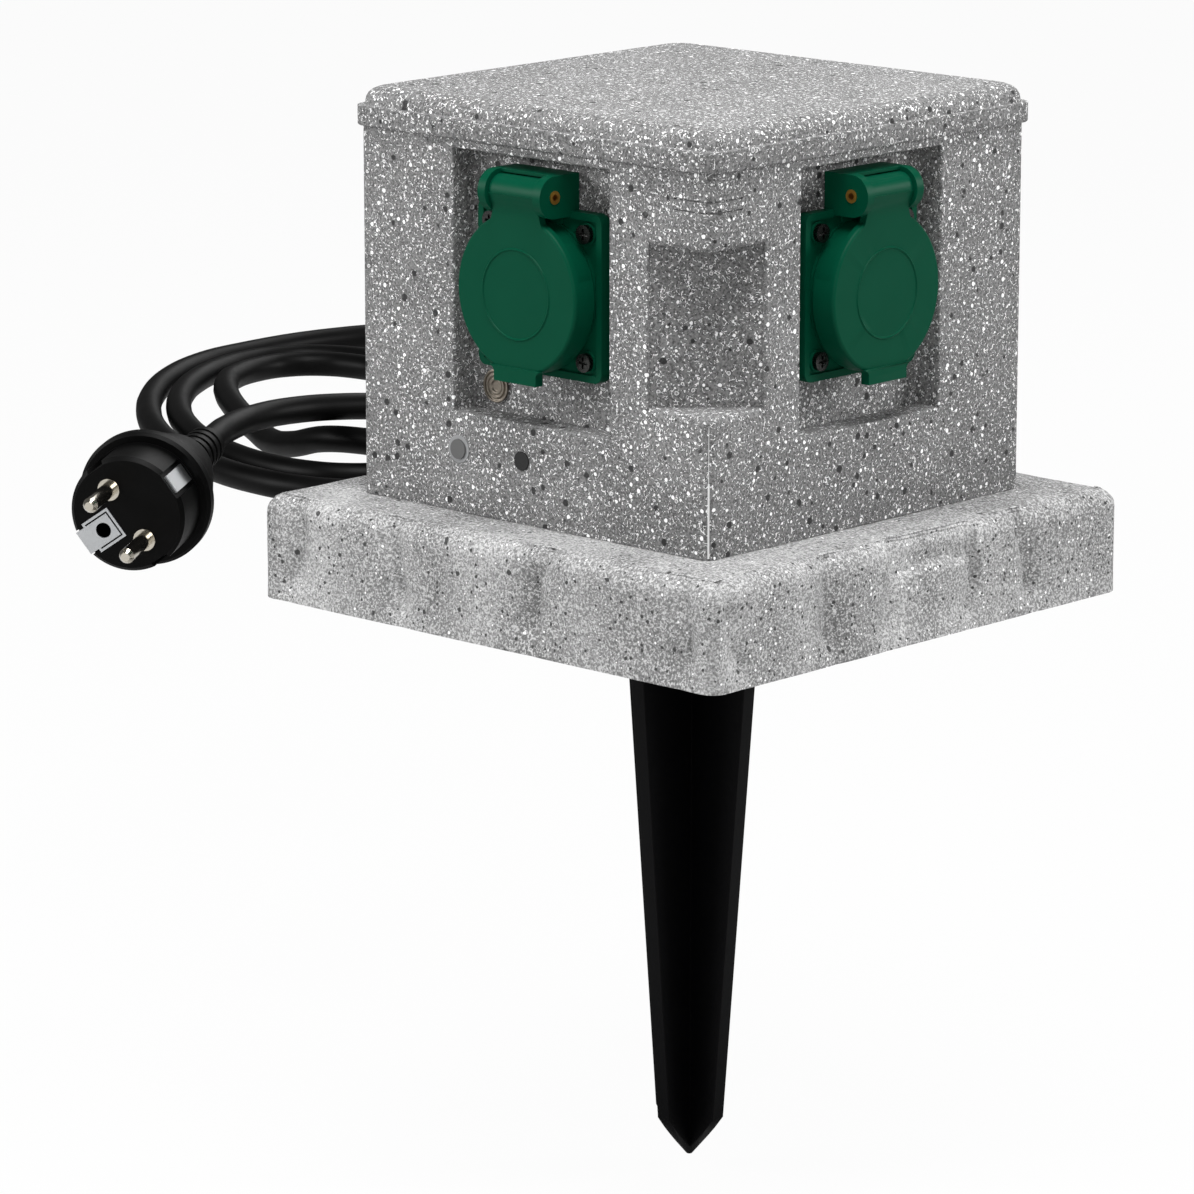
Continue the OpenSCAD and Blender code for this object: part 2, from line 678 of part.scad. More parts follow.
module supply_wires() color("saddlebrown") for (k = [-1, 0, 1])
    translate([cord_end_x, gland_y + 2.8 * k, gland_z]) rotate([0, 90, 0])
        cylinder(h = block_x[0] - cord_end_x, r = wire_r);

// The loom rises from the terminals, runs below the sockets to the middle, and fans out.
hub_half = 7;
loom_x = block_x[1] - 11;
loom_z = 70;
loom_r = 4.2;
module wiring_loom() color("saddlebrown") {
    translate([loom_x, gland_y, block_z]) cylinder(h = loom_z - block_z + loom_r, r = loom_r);
    translate([loom_x, gland_y, loom_z]) rotate([0, 90, atan2(-gland_y, -loom_x)])
        cylinder(h = norm([loom_x, gland_y]), r = loom_r - 0.6);
    translate([0, 0, loom_z - loom_r]) cylinder(h = socket_z - loom_z, r = loom_r);
    translate([-hub_half, -hub_half, socket_z - hub_half]) cube(2 * hub_half);
    for (i = [0 : 3]) on_side(i) bar(0, socket_z, hub_half - 1, socket_end, 2.2);
}

// Plug: drawn along its own axis, pins up, face at zero.
plug_at = [-174, 19, 20.3];
plug_heading = -104;
plug_dip = 4.4;
plug_roll = 35;
relief_len = 22;
relief_r = 7;
module in_plug() {
    rotate([0, 0, lay_turn]) translate(plug_at) rotate([0, 90 + plug_dip, plug_heading])
        rotate([0, 0, plug_roll]) children();
}

// The earth plate's half width, its hole, and the frame round it.
earth_half = 4;
earth_hole_y = 9.6;
earth_hole_r = 2.45;
frame_half = 5.3;
frame_y = [4.3, 14.6];
frame_t = 0.8;
plug_r = plug_d / 2;
plug_collar_r = plug_collar_d / 2;
module plug_shape() rotate_extrude($fn = 72) difference() {
    union() {
        polygon([[0, 0], [plug_r - 1.2, 0], [plug_r, -1.2], [plug_r, -17], [plug_collar_r - 1, -17],
            [plug_collar_r, -18], [plug_collar_r, -21], [plug_collar_r - 1.2, -22.5],
            [19, -25], [17, -34], [12, -50], [relief_r + 1.5, -plug_len + relief_len],
            [relief_r, -plug_len + relief_len], [relief_r - 0.6, -plug_len], [0, -plug_len]]);
    }
    for (k = [0 : 3]) translate([relief_r - 0.9, -plug_len + 3 + 4.4 * k]) square([3, 1.8]);
}

module plug_body() color("black") in_plug() difference() {
    plug_shape();
    translate([0, 0, -plug_len - e]) cylinder(h = cord_d + 1, r = cord_hole_r);
    for (x = [-1, 1]) {
        translate([x * contact_pitch / 2, 0, -14]) cylinder(h = 15, r = plug_pin_d / 2 - 0.5);
        translate([x * (plug_r + 0.4) - 2, -3, -16]) cube([4, 6, 17]);
        translate([-4.5, x * (plug_r + 1.4) - 3, -16]) cube([9, 6, 17]);
    }
    translate([0, -earth_hole_y, -14]) cylinder(h = 15, r = earth_hole_r + 0.5);
    translate([-earth_half - 0.5, -plug_r - 2, -0.9]) cube([2 * earth_half + 1, plug_r + 2 - earth_hole_y, 2]);
    translate([-frame_half - seat_gap, -frame_y[1] - seat_gap, -0.9])
        cube([2 * (frame_half + seat_gap), frame_y[1] - frame_y[0] + 2 * seat_gap, 2]);
}

pin_flange_t = 0.6;
module plug_pins() color("silver") in_plug() for (x = [-1, 1]) translate([x * contact_pitch / 2, 0, 0]) {
    translate([0, 0, -14]) cylinder(h = 15, r = plug_pin_d / 2 - 0.5);
    cylinder(h = pin_flange_t, r = plug_pin_d / 2 + 1.1);
    cylinder(h = plug_pin_len - 1.5, r = plug_pin_d / 2);
    translate([0, 0, plug_pin_len - 1.5]) cylinder(h = 1.5, r1 = plug_pin_d / 2, r2 = plug_pin_d / 2 - 1);
}

clip_face = plug_r + 1.4 - 3;
module plug_earth() color("silver") in_plug() {
    difference() {
        union() {
            translate([-earth_half, -clip_face - 1, -0.8])
                cube([2 * earth_half, clip_face + 1 - frame_y[0] - frame_t - 0.5, 0.8]);
            translate([-3, -clip_face - 1, -15.5]) cube([6, 1, 15.5]);
            difference() {
                translate([-frame_half, -frame_y[1], -0.8])
                    cube([2 * frame_half, frame_y[1] - frame_y[0], 0.8]);
                translate([-frame_half + frame_t, -frame_y[1] + frame_t, -1])
                    cube([2 * (frame_half - frame_t), frame_y[1] - frame_y[0] - 2 * frame_t, 2]);
            }
        }
        translate([0, -earth_hole_y, -2]) cylinder(h = 4, r = earth_hole_r);
    }
    translate([-3, clip_face, -15.5]) cube([6, 1, 14]);
}

// The lead lies in a frame turned about Z: right, away, up.
lay_turn = 43;
cord_end_x = -slab_r + 11;
function to_lay(p) =
    [p[0] * cos(lay_turn) + p[1] * sin(lay_turn), p[1] * cos(lay_turn) - p[0] * sin(lay_turn), p[2]];
function unit(v) = v / norm(v);

// The coil is a flat spiral of two loops, a little longer than wide.
coil_mid = [-120, 246];
coil_lean = 10;
coil_half = [66, 133];
coil_step = [11, 20];
coil_drift = 6;
coil_start = 110;
coil_loops = 2;
coil_rings = 24;
function coil_at(t) = let (a = coil_start + 360 * t,
        u = (coil_half[0] - coil_step[0] * t) * cos(a),
        v = coil_drift * t + (coil_half[1] - coil_step[1] * t) * sin(a))
    [coil_mid[0] + u * cos(coil_lean) - v * sin(coil_lean),
        coil_mid[1] + u * sin(coil_lean) + v * cos(coil_lean), cord_r];
function coil_dir(t) = unit(coil_at(t + 0.001) - coil_at(t - 0.001));
coil_in = coil_at(0) - cord_d * coil_dir(0);
coil_out = coil_at(coil_loops) + cord_d * coil_dir(coil_loops);
coil_points = concat([coil_in], [for (i = [0 : coil_rings * coil_loops]) coil_at(i / coil_rings)],
    [coil_out]);

// Where the lead leaves the plug, one length of lead inside its relief.
plug_back = let (b = 90 + plug_dip) [sin(b) * cos(plug_heading), sin(b) * sin(plug_heading), cos(b)];
relief_end = plug_at - plug_len * plug_back;
tail_points = concat([relief_end + cord_d * plug_back, relief_end, relief_end - 8 * plug_back], [
    [-150, 124, 26], [-143, 144, 25.5], [-131, 160, 25], [-114, 172, 24], [-95, 184, 21.5], [-77, 197, 18.5],
    [-60, 211, 16], [-44, 227, 12.5], [-31, 247, 8], [-22, 270, 5], [-18, 295, 4.5], [-20, 320, 4.5],
    [-28, 345, 4.5], [-40, 367, 4.5], [-57, 388, 4.5], [-78, 403, 4.5], [-102, 408, 4.5], [-124, 401, 4.5]],
    [coil_in - 9 * coil_dir(0), coil_in]);

gland_out = to_lay([-gland_mouth, gland_y, gland_z]);
gland_dir = to_lay([-1, 0, 0]);
lead_points = concat([coil_out, coil_out + 3 * coil_dir(coil_loops)], [
    [-161.5, 322, 4.5], [-162.5, 308, 4.5], [-161, 291, 4.5], [-158, 274, 4.5], [-153, 252, 4.5],
    [-147, 230, 4.5], [-140, 208, 4.5],
    [-132, 190, 7.5], [-121, 174, 12.5], [-107, 161, 14.4], [-93, 147, 15], [-79, 134, 15.5]],
    [gland_out + 11 * gland_dir, gland_out, to_lay([cord_end_x, gland_y, gland_z])]);

// A tube swept along points, with its rings square to the route.
function way(p, i) = unit(p[min(i + 1, len(p) - 1)] - p[max(i - 1, 0)]);
function ring(p, i, r, n, turn) = let (t = way(p, i), s = unit(cross(t, [0, 0, 1])), w = cross(s, t))
    [for (k = [0 : n - 1]) p[i] + r * (cos(360 * k / n + turn) * s + sin(360 * k / n + turn) * w)];
module tube(p, r, n, turn = 0) {
    m = len(p);
    points = [for (i = [0 : m - 1]) each ring(p, i, r, n, turn)];
    sides = [for (i = [0 : m - 2], k = [0 : n - 1]) let (a = i * n + k, b = i * n + (k + 1) % n)
        each [[a, b, a + n], [b, b + n, a + n]]];
    ends = [for (k = [1 : n - 2]) each [[0, k + 1, k], [(m - 1) * n, (m - 1) * n + k, (m - 1) * n + k + 1]]];
    polyhedron(points, concat(sides, ends));
}

module cord_tail() color("black") rotate([0, 0, lay_turn]) tube(tail_points, cord_r, 10, 18);
module cord_coil() color("black") rotate([0, 0, lay_turn]) tube(coil_points, cord_r, 6, 30);
module cord_lead() color("black") rotate([0, 0, lay_turn]) tube(lead_points, cord_r, 10, 18);

function route_length(p, i = 1) = i == len(p) ? 0 : norm(p[i] - p[i - 1]) + route_length(p, i + 1);
coil_gap = min([for (i = [0 : len(coil_points) - 1], j = [i + 6 : 1 : len(coil_points) - 1])
    norm(coil_points[i] - coil_points[j]) - cord_d]);
echo(coil_least_gap = coil_gap);
echo(lead_length = route_length(tail_points) + route_length(coil_points) + route_length(lead_points));
echo(tail = route_length(tail_points), coil = route_length(coil_points), lead = route_length(lead_points));

base_slab();
bottom_plate();
bottom_screws();
housing();
cap();
cap_seal();
body_screws();
ground_spike();
spike_washer();
spike_nut();
on_side(0) socket();  // socket_0
on_side(1) socket();  // socket_1
on_side(2) socket();  // socket_2
on_side(3) socket();  // socket_3
on_side(0) lid();  // lid_0
on_side(1) lid();  // lid_1
on_side(2) lid();  // lid_2
on_side(3) lid();  // lid_3
on_side(0) lid_seal();  // lid_seal_0
on_side(1) lid_seal();  // lid_seal_1
on_side(2) lid_seal();  // lid_seal_2
on_side(3) lid_seal();  // lid_seal_3
on_side(0) hinge_pin();  // hinge_pin_0
on_side(1) hinge_pin();  // hinge_pin_1
on_side(2) hinge_pin();  // hinge_pin_2
on_side(3) hinge_pin();  // hinge_pin_3
on_side(0) lid_spring();  // lid_spring_0
on_side(1) lid_spring();  // lid_spring_1
on_side(2) lid_spring();  // lid_spring_2
on_side(3) lid_spring();  // lid_spring_3
on_side(0) contacts();  // contacts_0
on_side(1) contacts();  // contacts_1
on_side(2) contacts();  // contacts_2
on_side(3) contacts();  // contacts_3
on_side(0) earth_clips();  // earth_clips_0
on_side(1) earth_clips();  // earth_clips_1
on_side(2) earth_clips();  // earth_clips_2
on_side(3) earth_clips();  // earth_clips_3
flange_gaskets();
flange_screws();
push_button();
button_ring();
sensor_window();
control_board();
relay();
recess_screw();
cable_gland();
gland_nut();
gland_locknut();
terminal_block();
supply_wires();
wiring_loom();
plug_body();
plug_pins();
plug_earth();
cord_tail();
cord_coil();
cord_lead();
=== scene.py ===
import bpy, json, math
import numpy as np
from mathutils import Vector, Matrix, noise

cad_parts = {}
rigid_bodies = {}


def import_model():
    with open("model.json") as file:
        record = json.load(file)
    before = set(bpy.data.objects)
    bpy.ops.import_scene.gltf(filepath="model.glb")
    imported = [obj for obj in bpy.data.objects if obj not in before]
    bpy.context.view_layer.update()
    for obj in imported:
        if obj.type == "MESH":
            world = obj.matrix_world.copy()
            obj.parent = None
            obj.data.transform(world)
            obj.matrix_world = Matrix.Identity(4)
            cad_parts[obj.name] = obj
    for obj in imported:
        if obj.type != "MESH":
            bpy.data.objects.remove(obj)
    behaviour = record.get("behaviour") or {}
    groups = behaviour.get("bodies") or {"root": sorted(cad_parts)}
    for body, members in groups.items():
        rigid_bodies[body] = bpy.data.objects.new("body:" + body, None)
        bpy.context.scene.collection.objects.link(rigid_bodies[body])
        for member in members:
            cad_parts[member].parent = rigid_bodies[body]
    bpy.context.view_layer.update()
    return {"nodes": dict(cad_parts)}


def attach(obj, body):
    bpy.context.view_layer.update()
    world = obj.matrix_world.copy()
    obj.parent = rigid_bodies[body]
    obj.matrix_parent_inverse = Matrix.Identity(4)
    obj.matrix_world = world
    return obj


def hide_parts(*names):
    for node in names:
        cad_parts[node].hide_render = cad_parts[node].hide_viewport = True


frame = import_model()
nodes = frame["nodes"]
print("frame loaded")


# ---- small tools
def deselectAll():
    if bpy.context.object and bpy.context.object.mode != "OBJECT":
        bpy.ops.object.mode_set(mode="OBJECT")
    bpy.ops.object.select_all(action="DESELECT")


def pick(piece):
    deselectAll()
    piece.select_set(True)
    bpy.context.view_layer.objects.active = piece


def block(name, low, high):
    # a cube between two corners, in mm
    deselectAll()
    mid = [(a + b) / 2000 for a, b in zip(low, high)]
    bpy.ops.mesh.primitive_cube_add(size=1, location=mid)
    piece = bpy.context.object
    piece.name = name
    piece.scale = [(b - a) / 1000 for a, b in zip(low, high)]
    bpy.ops.object.transform_apply(location=True, rotation=True, scale=True)
    return piece


def extrudeBy(across, away, up):
    # draws the selected faces out by a move in mm
    bpy.ops.mesh.extrude_region_move(
        TRANSFORM_OT_translate={"value": (across / 1000, away / 1000, up / 1000)})


# points this near become one, in metres, and faces this flat become one, in degrees
weld = {"near": 0.00001, "flat": 0.5}


def copyOfNode(name, node):
    # a CAD node's mesh, merged so that its edges can be softened
    piece = nodes[node].copy()
    piece.data = nodes[node].data.copy()
    piece.parent = None
    piece.matrix_world = Matrix.Identity(4)
    piece.name = name
    bpy.context.collection.objects.link(piece)
    piece.hide_render = False
    piece.hide_viewport = False
    pick(piece)
    bpy.ops.object.mode_set(mode="EDIT")
    bpy.ops.mesh.select_all(action="SELECT")
    bpy.ops.mesh.customdata_custom_splitnormals_clear()
    bpy.ops.mesh.remove_doubles(threshold=weld["near"])
    bpy.ops.mesh.dissolve_limited(angle_limit=math.radians(weld["flat"]))
    bpy.ops.object.mode_set(mode="OBJECT")
    return piece


def selectFaces(piece, test):
    # test gets each face's middle and normal
    pick(piece)
    bpy.ops.object.mode_set(mode="EDIT")
    bpy.ops.mesh.select_all(action="DESELECT")
    bpy.ops.mesh.select_mode(type="FACE")
    bpy.ops.object.mode_set(mode="OBJECT")
    for face in piece.data.polygons:
        face.select = bool(test(face.center, face.normal))
    bpy.ops.object.mode_set(mode="EDIT")


def selectEdges(piece, test):
    # test gets each edge's two ends
    pick(piece)
    bpy.ops.object.mode_set(mode="EDIT")
    bpy.ops.mesh.select_mode(type="EDGE")
    bpy.ops.mesh.select_all(action="DESELECT")
    bpy.ops.object.mode_set(mode="OBJECT")
    points = piece.data.vertices
    for edge in piece.data.edges:
        edge.select = bool(test(points[edge.vertices[0]].co, points[edge.vertices[1]].co))
    bpy.ops.object.mode_set(mode="EDIT")


def roundEdges(piece, test, width, segments):
    # rounds the edges that pass the test, by a width in mm
    selectEdges(piece, test)
    bpy.ops.mesh.bevel(offset=width / 1000, segments=segments, profile=0.5)
    bpy.ops.object.mode_set(mode="OBJECT")


def soften(piece, width, segments=2, angle=35, smooth=35):
    # rounds every sharp edge, then smooths the shading
    pick(piece)
    edge = piece.modifiers.new("edges", "BEVEL")
    edge.width = width
    edge.segments = segments
    edge.limit_method = "ANGLE"
    edge.angle_limit = math.radians(angle)
    edge.miter_outer = "MITER_ARC"
    edge.use_clamp_overlap = True
    bpy.ops.object.modifier_apply(modifier=edge.name)
    bpy.ops.object.shade_smooth_by_angle(angle=math.radians(smooth))
    # large faces keep their own normal, so they stay flat beside the rounding
    flat = piece.modifiers.new("flat", "WEIGHTED_NORMAL")
    flat.keep_sharp = True
    bpy.ops.object.modifier_apply(modifier=flat.name)


def addTo(piece, extra, how="UNION"):
    # joins one solid to another, or cuts it out, and removes the helper
    pick(piece)
    joint = piece.modifiers.new("joint", "BOOLEAN")
    joint.operation = how
    joint.object = extra
    joint.solver = "EXACT"
    bpy.ops.object.modifier_apply(modifier=joint.name)
    bpy.data.objects.remove(extra)


def dress(piece, material, body=None, instead=()):
    piece.data.materials.clear()
    piece.data.materials.append(material)
    if body:
        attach(piece, body)
    if instead:
        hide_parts(*instead)


# ---- materials
def colour(code):
    # sRGB hex to linear
    parts = [int(code[k:k + 2], 16) / 255 for k in (1, 3, 5)]
    return tuple(c / 12.92 if c <= 0.04045 else ((c + 0.055) / 1.055) ** 2.4 for c in parts) + (1,)


def addNode(tree, kind, settings=None, links=None):
    # lower-case names are the node's own settings, the rest are sockets
    node = tree.nodes.new(kind)
    for name, value in (settings or {}).items():
        if isinstance(name, str) and name[0].islower():
            setattr(node, name, value)
        else:
            node.inputs[name].default_value = value
    for name, source in (links or {}).items():
        tree.links.new(source, node.inputs[name])
    return node


def newMaterial(name):
    material = bpy.data.materials.new(name)
    material.use_nodes = True
    tree = material.node_tree
    return material, tree, tree.nodes["Principled BSDF"]


def inMillimetres(tree, stretch=(1, 1, 1)):
    spot = addNode(tree, "ShaderNodeTexCoord")
    return addNode(tree, "ShaderNodeMapping", {"Scale": [1000 * s for s in stretch]},
                   {"Vector": spot.outputs["Object"]}).outputs["Vector"]


def chips(tree, place, layer):
    # how far inside a stone chip a point is, in cell widths: some cells of a Voronoi pattern hold one
    moved = addNode(tree, "ShaderNodeMapping",
                    {"Location": layer["shift"], "Scale": [1 / layer["size"]] * 3}, {"Vector": place})
    cell = addNode(tree, "ShaderNodeTexVoronoi",
                   {"voronoi_dimensions": "3D", "Scale": 1.0, "Randomness": 1.0},
                   {"Vector": moved.outputs["Vector"]})
    parts = addNode(tree, "ShaderNodeSeparateColor", {}, {"Color": cell.outputs["Color"]})
    radius = addNode(tree, "ShaderNodeMapRange", {"To Min": layer["small"], "To Max": layer["large"]},
                     {"Value": parts.outputs["Green"]})
    there = addNode(tree, "ShaderNodeMath", {"operation": "LESS_THAN", 1: layer["share"]},
                    {0: parts.outputs["Red"]})
    reach = addNode(tree, "ShaderNodeMath", {"operation": "MULTIPLY"},
                    {0: radius.outputs["Result"], 1: there.outputs["Value"]})
    inside = addNode(tree, "ShaderNodeMath", {"operation": "SUBTRACT"},
                     {0: reach.outputs["Value"], 1: cell.outputs["Distance"]})
    return inside.outputs["Value"]


stone = {
    # noise scales per mm of the bends, the grain and the bare patches between curls
    "bends": 0.9, "grain": 1.35, "bare": 0.9,
    # the noise levels from and to which a cloud turns pale and a bare patch gets its curls back
    "clouds": (0.36, 0.64), "curls": (0.52, 0.56),
    "bumpDepth": 0.0003, "rough": 0.72, "gloss": 0.3}


def stoneMaterial(name, look):
    # cast polyester resin with a granite filler: matt, with fine pale curls and round pale and dark chips
    material, tree, surface = newMaterial(name)
    place = inMillimetres(tree)
    wobble = addNode(tree, "ShaderNodeTexNoise", {"Scale": stone["bends"], "Detail": 2.0}, {"Vector": place})
    push = addNode(tree, "ShaderNodeVectorMath", {"operation": "SUBTRACT", 1: (0.5, 0.5, 0.5)},
                   {0: wobble.outputs["Color"]})
    bent = addNode(tree, "ShaderNodeVectorMath", {"operation": "MULTIPLY_ADD", 1: [look["bend"]] * 3},
                   {0: push.outputs["Vector"], 2: place}).outputs["Vector"]
    # slow clouds under a fine grain; upright on the hewn slab, where they are partly the stone's own pale and
    # dark blotches and partly painted light and shade of the hewn facets
    tall = inMillimetres(tree, (1, 1, look["upright"]))
    cloud = addNode(tree, "ShaderNodeTexNoise", {"Scale": look["cloud"], "Detail": 2.0, "Roughness": 0.5},
                    {"Vector": tall})
    spread = addNode(tree, "ShaderNodeMapRange",
                     {"From Min": stone["clouds"][0], "From Max": stone["clouds"][1]},
                     {"Value": cloud.outputs["Fac"]})
    mixed = addNode(tree, "ShaderNodeMix",
                    {"data_type": "RGBA", 6: colour(look["dark"]), 7: colour(look["pale"])},
                    {0: spread.outputs["Result"]})
    grain = addNode(tree, "ShaderNodeTexNoise", {"Scale": stone["grain"], "Detail": 2.0, "Roughness": 0.6},
                    {"Vector": place})
    for start, end, code in look["grains"]:
        speck = addNode(tree, "ShaderNodeMapRange",
                        {"From Min": start, "From Max": end, "To Max": look["grain"]},
                        {"Value": grain.outputs["Fac"]})
        mixed = addNode(tree, "ShaderNodeMix", {"data_type": "RGBA", 7: colour(code)},
                        {0: speck.outputs["Result"], 6: mixed.outputs[2]})
    # the curls follow the level lines of a smooth noise, with a dark line along each
    smooth = addNode(tree, "ShaderNodeTexNoise", {"Scale": look["curl"], "Detail": 1.5, "Roughness": 0.5},
                     {"Vector": bent})
    off = addNode(tree, "ShaderNodeMath", {"operation": "SUBTRACT", 1: 0.5}, {0: smooth.outputs["Fac"]})
    away = addNode(tree, "ShaderNodeMath", {"operation": "ABSOLUTE"}, {0: off.outputs["Value"]})
    patch = addNode(tree, "ShaderNodeTexNoise", {"Scale": stone["bare"], "Detail": 1.0}, {"Vector": place})
    gone = addNode(tree, "ShaderNodeMapRange",
                   {"From Min": stone["curls"][0], "From Max": stone["curls"][1]},
                   {"Value": patch.outputs["Fac"]})
    for near, far, most, code in look["curls"]:
        line = addNode(tree, "ShaderNodeMapRange",
                       {"From Min": near, "From Max": far, "To Min": most, "To Max": 0},
                       {"Value": away.outputs["Value"]})
        kept = addNode(tree, "ShaderNodeMath", {"operation": "MULTIPLY"},
                       {0: line.outputs["Result"], 1: gone.outputs["Result"]})
        mixed = addNode(tree, "ShaderNodeMix", {"data_type": "RGBA", 7: colour(code)},
                        {0: kept.outputs["Value"], 6: mixed.outputs[2]})
    for layer in look["layers"]:
        inside = chips(tree, bent, layer)
        for start, end, most, code in layer["bands"]:
            edge = addNode(tree, "ShaderNodeMapRange",
                           {"From Min": start, "From Max": end, "To Max": most}, {"Value": inside})
            mixed = addNode(tree, "ShaderNodeMix", {"data_type": "RGBA", 7: colour(code)},
                            {0: edge.outputs["Result"], 6: mixed.outputs[2]})
    tree.links.new(mixed.outputs[2], surface.inputs["Base Color"])
    bump = addNode(tree, "ShaderNodeBump", {"Strength": look["bump"], "Distance": stone["bumpDepth"]},
                   {"Height": grain.outputs["Fac"]})
    tree.links.new(bump.outputs["Normal"], surface.inputs["Normal"])
    surface.inputs["Roughness"].default_value = stone["rough"]
    surface.inputs["Specular IOR Level"].default_value = stone["gloss"]
    return material


# how deep the fine marks of plastic and metal are, in metres
fineDepth = 0.0001


def plasticMaterial(name, code, rough, grainSize=0.35, bumpy=0.08, vary=0.12, spec=0.5):
    # injection-moulded plastic: an even colour, a fine spark-eroded grain and a slightly uneven gloss
    material, tree, surface = newMaterial(name)
    place = inMillimetres(tree)
    cloud = addNode(tree, "ShaderNodeTexNoise", {"Scale": 0.08, "Detail": 3.0}, {"Vector": place})
    darker = tuple(c * (1 - vary) for c in colour(code)[:3]) + (1,)
    lighter = tuple(min(1, c * (1 + vary)) for c in colour(code)[:3]) + (1,)
    tint = addNode(tree, "ShaderNodeMix", {"data_type": "RGBA", 6: darker, 7: lighter},
                   {0: cloud.outputs["Fac"]})
    tree.links.new(tint.outputs[2], surface.inputs["Base Color"])
    grain = addNode(tree, "ShaderNodeTexNoise", {"Scale": 1 / grainSize, "Detail": 2.0}, {"Vector": place})
    bump = addNode(tree, "ShaderNodeBump", {"Strength": bumpy, "Distance": fineDepth},
                   {"Height": grain.outputs["Fac"]})
    tree.links.new(bump.outputs["Normal"], surface.inputs["Normal"])
    gloss = addNode(tree, "ShaderNodeMapRange", {"To Min": rough - 0.06, "To Max": rough + 0.06},
                    {"Value": cloud.outputs["Fac"]})
    tree.links.new(gloss.outputs["Result"], surface.inputs["Roughness"])
    surface.inputs["Specular IOR Level"].default_value = spec
    return material


def metalMaterial(name, code, rough, line=0.25, vary=0.15):
    # bare or plated metal: fine turning marks and a slightly uneven shine
    material, tree, surface = newMaterial(name)
    place = inMillimetres(tree)
    marks = addNode(tree, "ShaderNodeTexNoise", {"Scale": 1 / line, "Detail": 3.0}, {"Vector": place})
    darker = tuple(c * (1 - vary) for c in colour(code)[:3]) + (1,)
    tint = addNode(tree, "ShaderNodeMix", {"data_type": "RGBA", 6: darker, 7: colour(code)},
                   {0: marks.outputs["Fac"]})
    tree.links.new(tint.outputs[2], surface.inputs["Base Color"])
    gloss = addNode(tree, "ShaderNodeMapRange", {"To Min": rough - 0.08, "To Max": rough + 0.1},
                    {"Value": marks.outputs["Fac"]})
    tree.links.new(gloss.outputs["Result"], surface.inputs["Roughness"])
    bump = addNode(tree, "ShaderNodeBump", {"Strength": 0.06, "Distance": fineDepth},
                   {"Height": marks.outputs["Fac"]})
    tree.links.new(bump.outputs["Normal"], surface.inputs["Normal"])
    surface.inputs["Metallic"].default_value = 1.0
    return material


greyStone = stoneMaterial("granite_resin_grey", {
    "dark": "#676767", "pale": "#737373", "cloud": 0.04, "upright": 1, "bend": 0.8, "bump": 0.3,
    # the fine grain turns dark where its noise is low and pale where it is high
    "grain": 0.6, "grains": [(0.47, 0.4, "#2b2b2b"), (0.55, 0.62, "#8c8c8c")],
    # the noise scale of the curls, then from and to this far off the level line, how strong, and the colour
    "curl": 0.72, "curls": [(0.05, 0.1, 0.7, "#343434"), (0.024, 0.04, 1, "#e6e6e6")],
    # cell size in mm, share of cells with a chip, its radius in cell widths, its rings from outside in
    "layers": [
        {"size": 1.6, "share": 0.22, "small": 0.14, "large": 0.3, "shift": (7.1, 3.3, 5.7),
         "bands": [(-0.14, -0.06, 0.8, "#3a3a3a"), (-0.03, 0.05, 1, "#e0e0e0")]},
        {"size": 2.8, "share": 0.32, "small": 0.12, "large": 0.25, "shift": (3.7, 9.2, 1.4),
         "bands": [(-0.08, -0.04, 0.8, "#3a3a3a"), (-0.02, 0.03, 1, "#f4f4f4")]},
        {"size": 3.6, "share": 0.22, "small": 0.14, "large": 0.26, "shift": (1.9, 5.2, 4.4),
         "bands": [(-0.08, -0.03, 0.8, "#343434"), (-0.01, 0.03, 1, "#cfcfcf"),
                   (0.08, 0.12, 0.8, "#5c5c5c")]},
        {"size": 4.4, "share": 0.36, "small": 0.11, "large": 0.27, "shift": (1.9, 4.1, 8.3),
         "bands": [(-0.02, 0.04, 0.95, "#1f1f1f")]}]})
# the slab's stone: its upright dark and pale clouds are partly painted light and shade of the hewn facets
lightStone = stoneMaterial("granite_resin_light", {
    "dark": "#6e6e6e", "pale": "#9a9a9a", "cloud": 0.035, "upright": 0.3, "bend": 0.7, "bump": 0.3,
    "grain": 0.55, "grains": [(0.48, 0.41, "#444444"), (0.54, 0.61, "#d4d4d4")],
    "curl": 0.62, "curls": [(0.05, 0.1, 0.45, "#6c6c6c"), (0.018, 0.035, 0.6, "#dcdcdc")],
    "layers": [
        {"size": 2.1, "share": 0.36, "small": 0.1, "large": 0.26, "shift": (5.1, 1.3, 3.7),
         "bands": [(-0.1, -0.05, 0.7, "#505050"), (-0.03, 0.04, 1, "#e6e6e6")]},
        {"size": 2.0, "share": 0.36, "small": 0.12, "large": 0.29, "shift": (2, 6, 1),
         "bands": [(-0.02, 0.03, 1, "#343434")]},
        {"size": 5, "share": 0.2, "small": 0.1, "large": 0.2, "shift": (8.9, 2.1, 6.3),
         "bands": [(-0.02, 0.04, 0.95, "#2e2e2e")]}]})
# colour, roughness, grain size in mm, bump, unevenness of the colour, specular level
greenPlastic = plasticMaterial("green_abs", "#013e2b", 0.42, 0.4, 0.05, 0.06, 0.05)
blackPlastic = plasticMaterial("black_polypropylene", "#030304", 0.42, 0.5, 0.1, 0.1, 0.06)
blackRubber = plasticMaterial("black_neoprene_rubber", "#030303", 0.46, 0.3, 0.12, 0.15, 0.08)
sealRubber = plasticMaterial("black_epdm_seal", "#1b1b1c", 0.7, 0.3, 0.15, 0.1, 0.3)
greyPlastic = plasticMaterial("grey_button_abs", "#565656", 0.5, 0.4, 0.1, 0.2, 0.3)
paleRing = plasticMaterial("pale_ring_nylon", "#868788", 0.55, 0.4, 0.1, 0.15, 0.3)
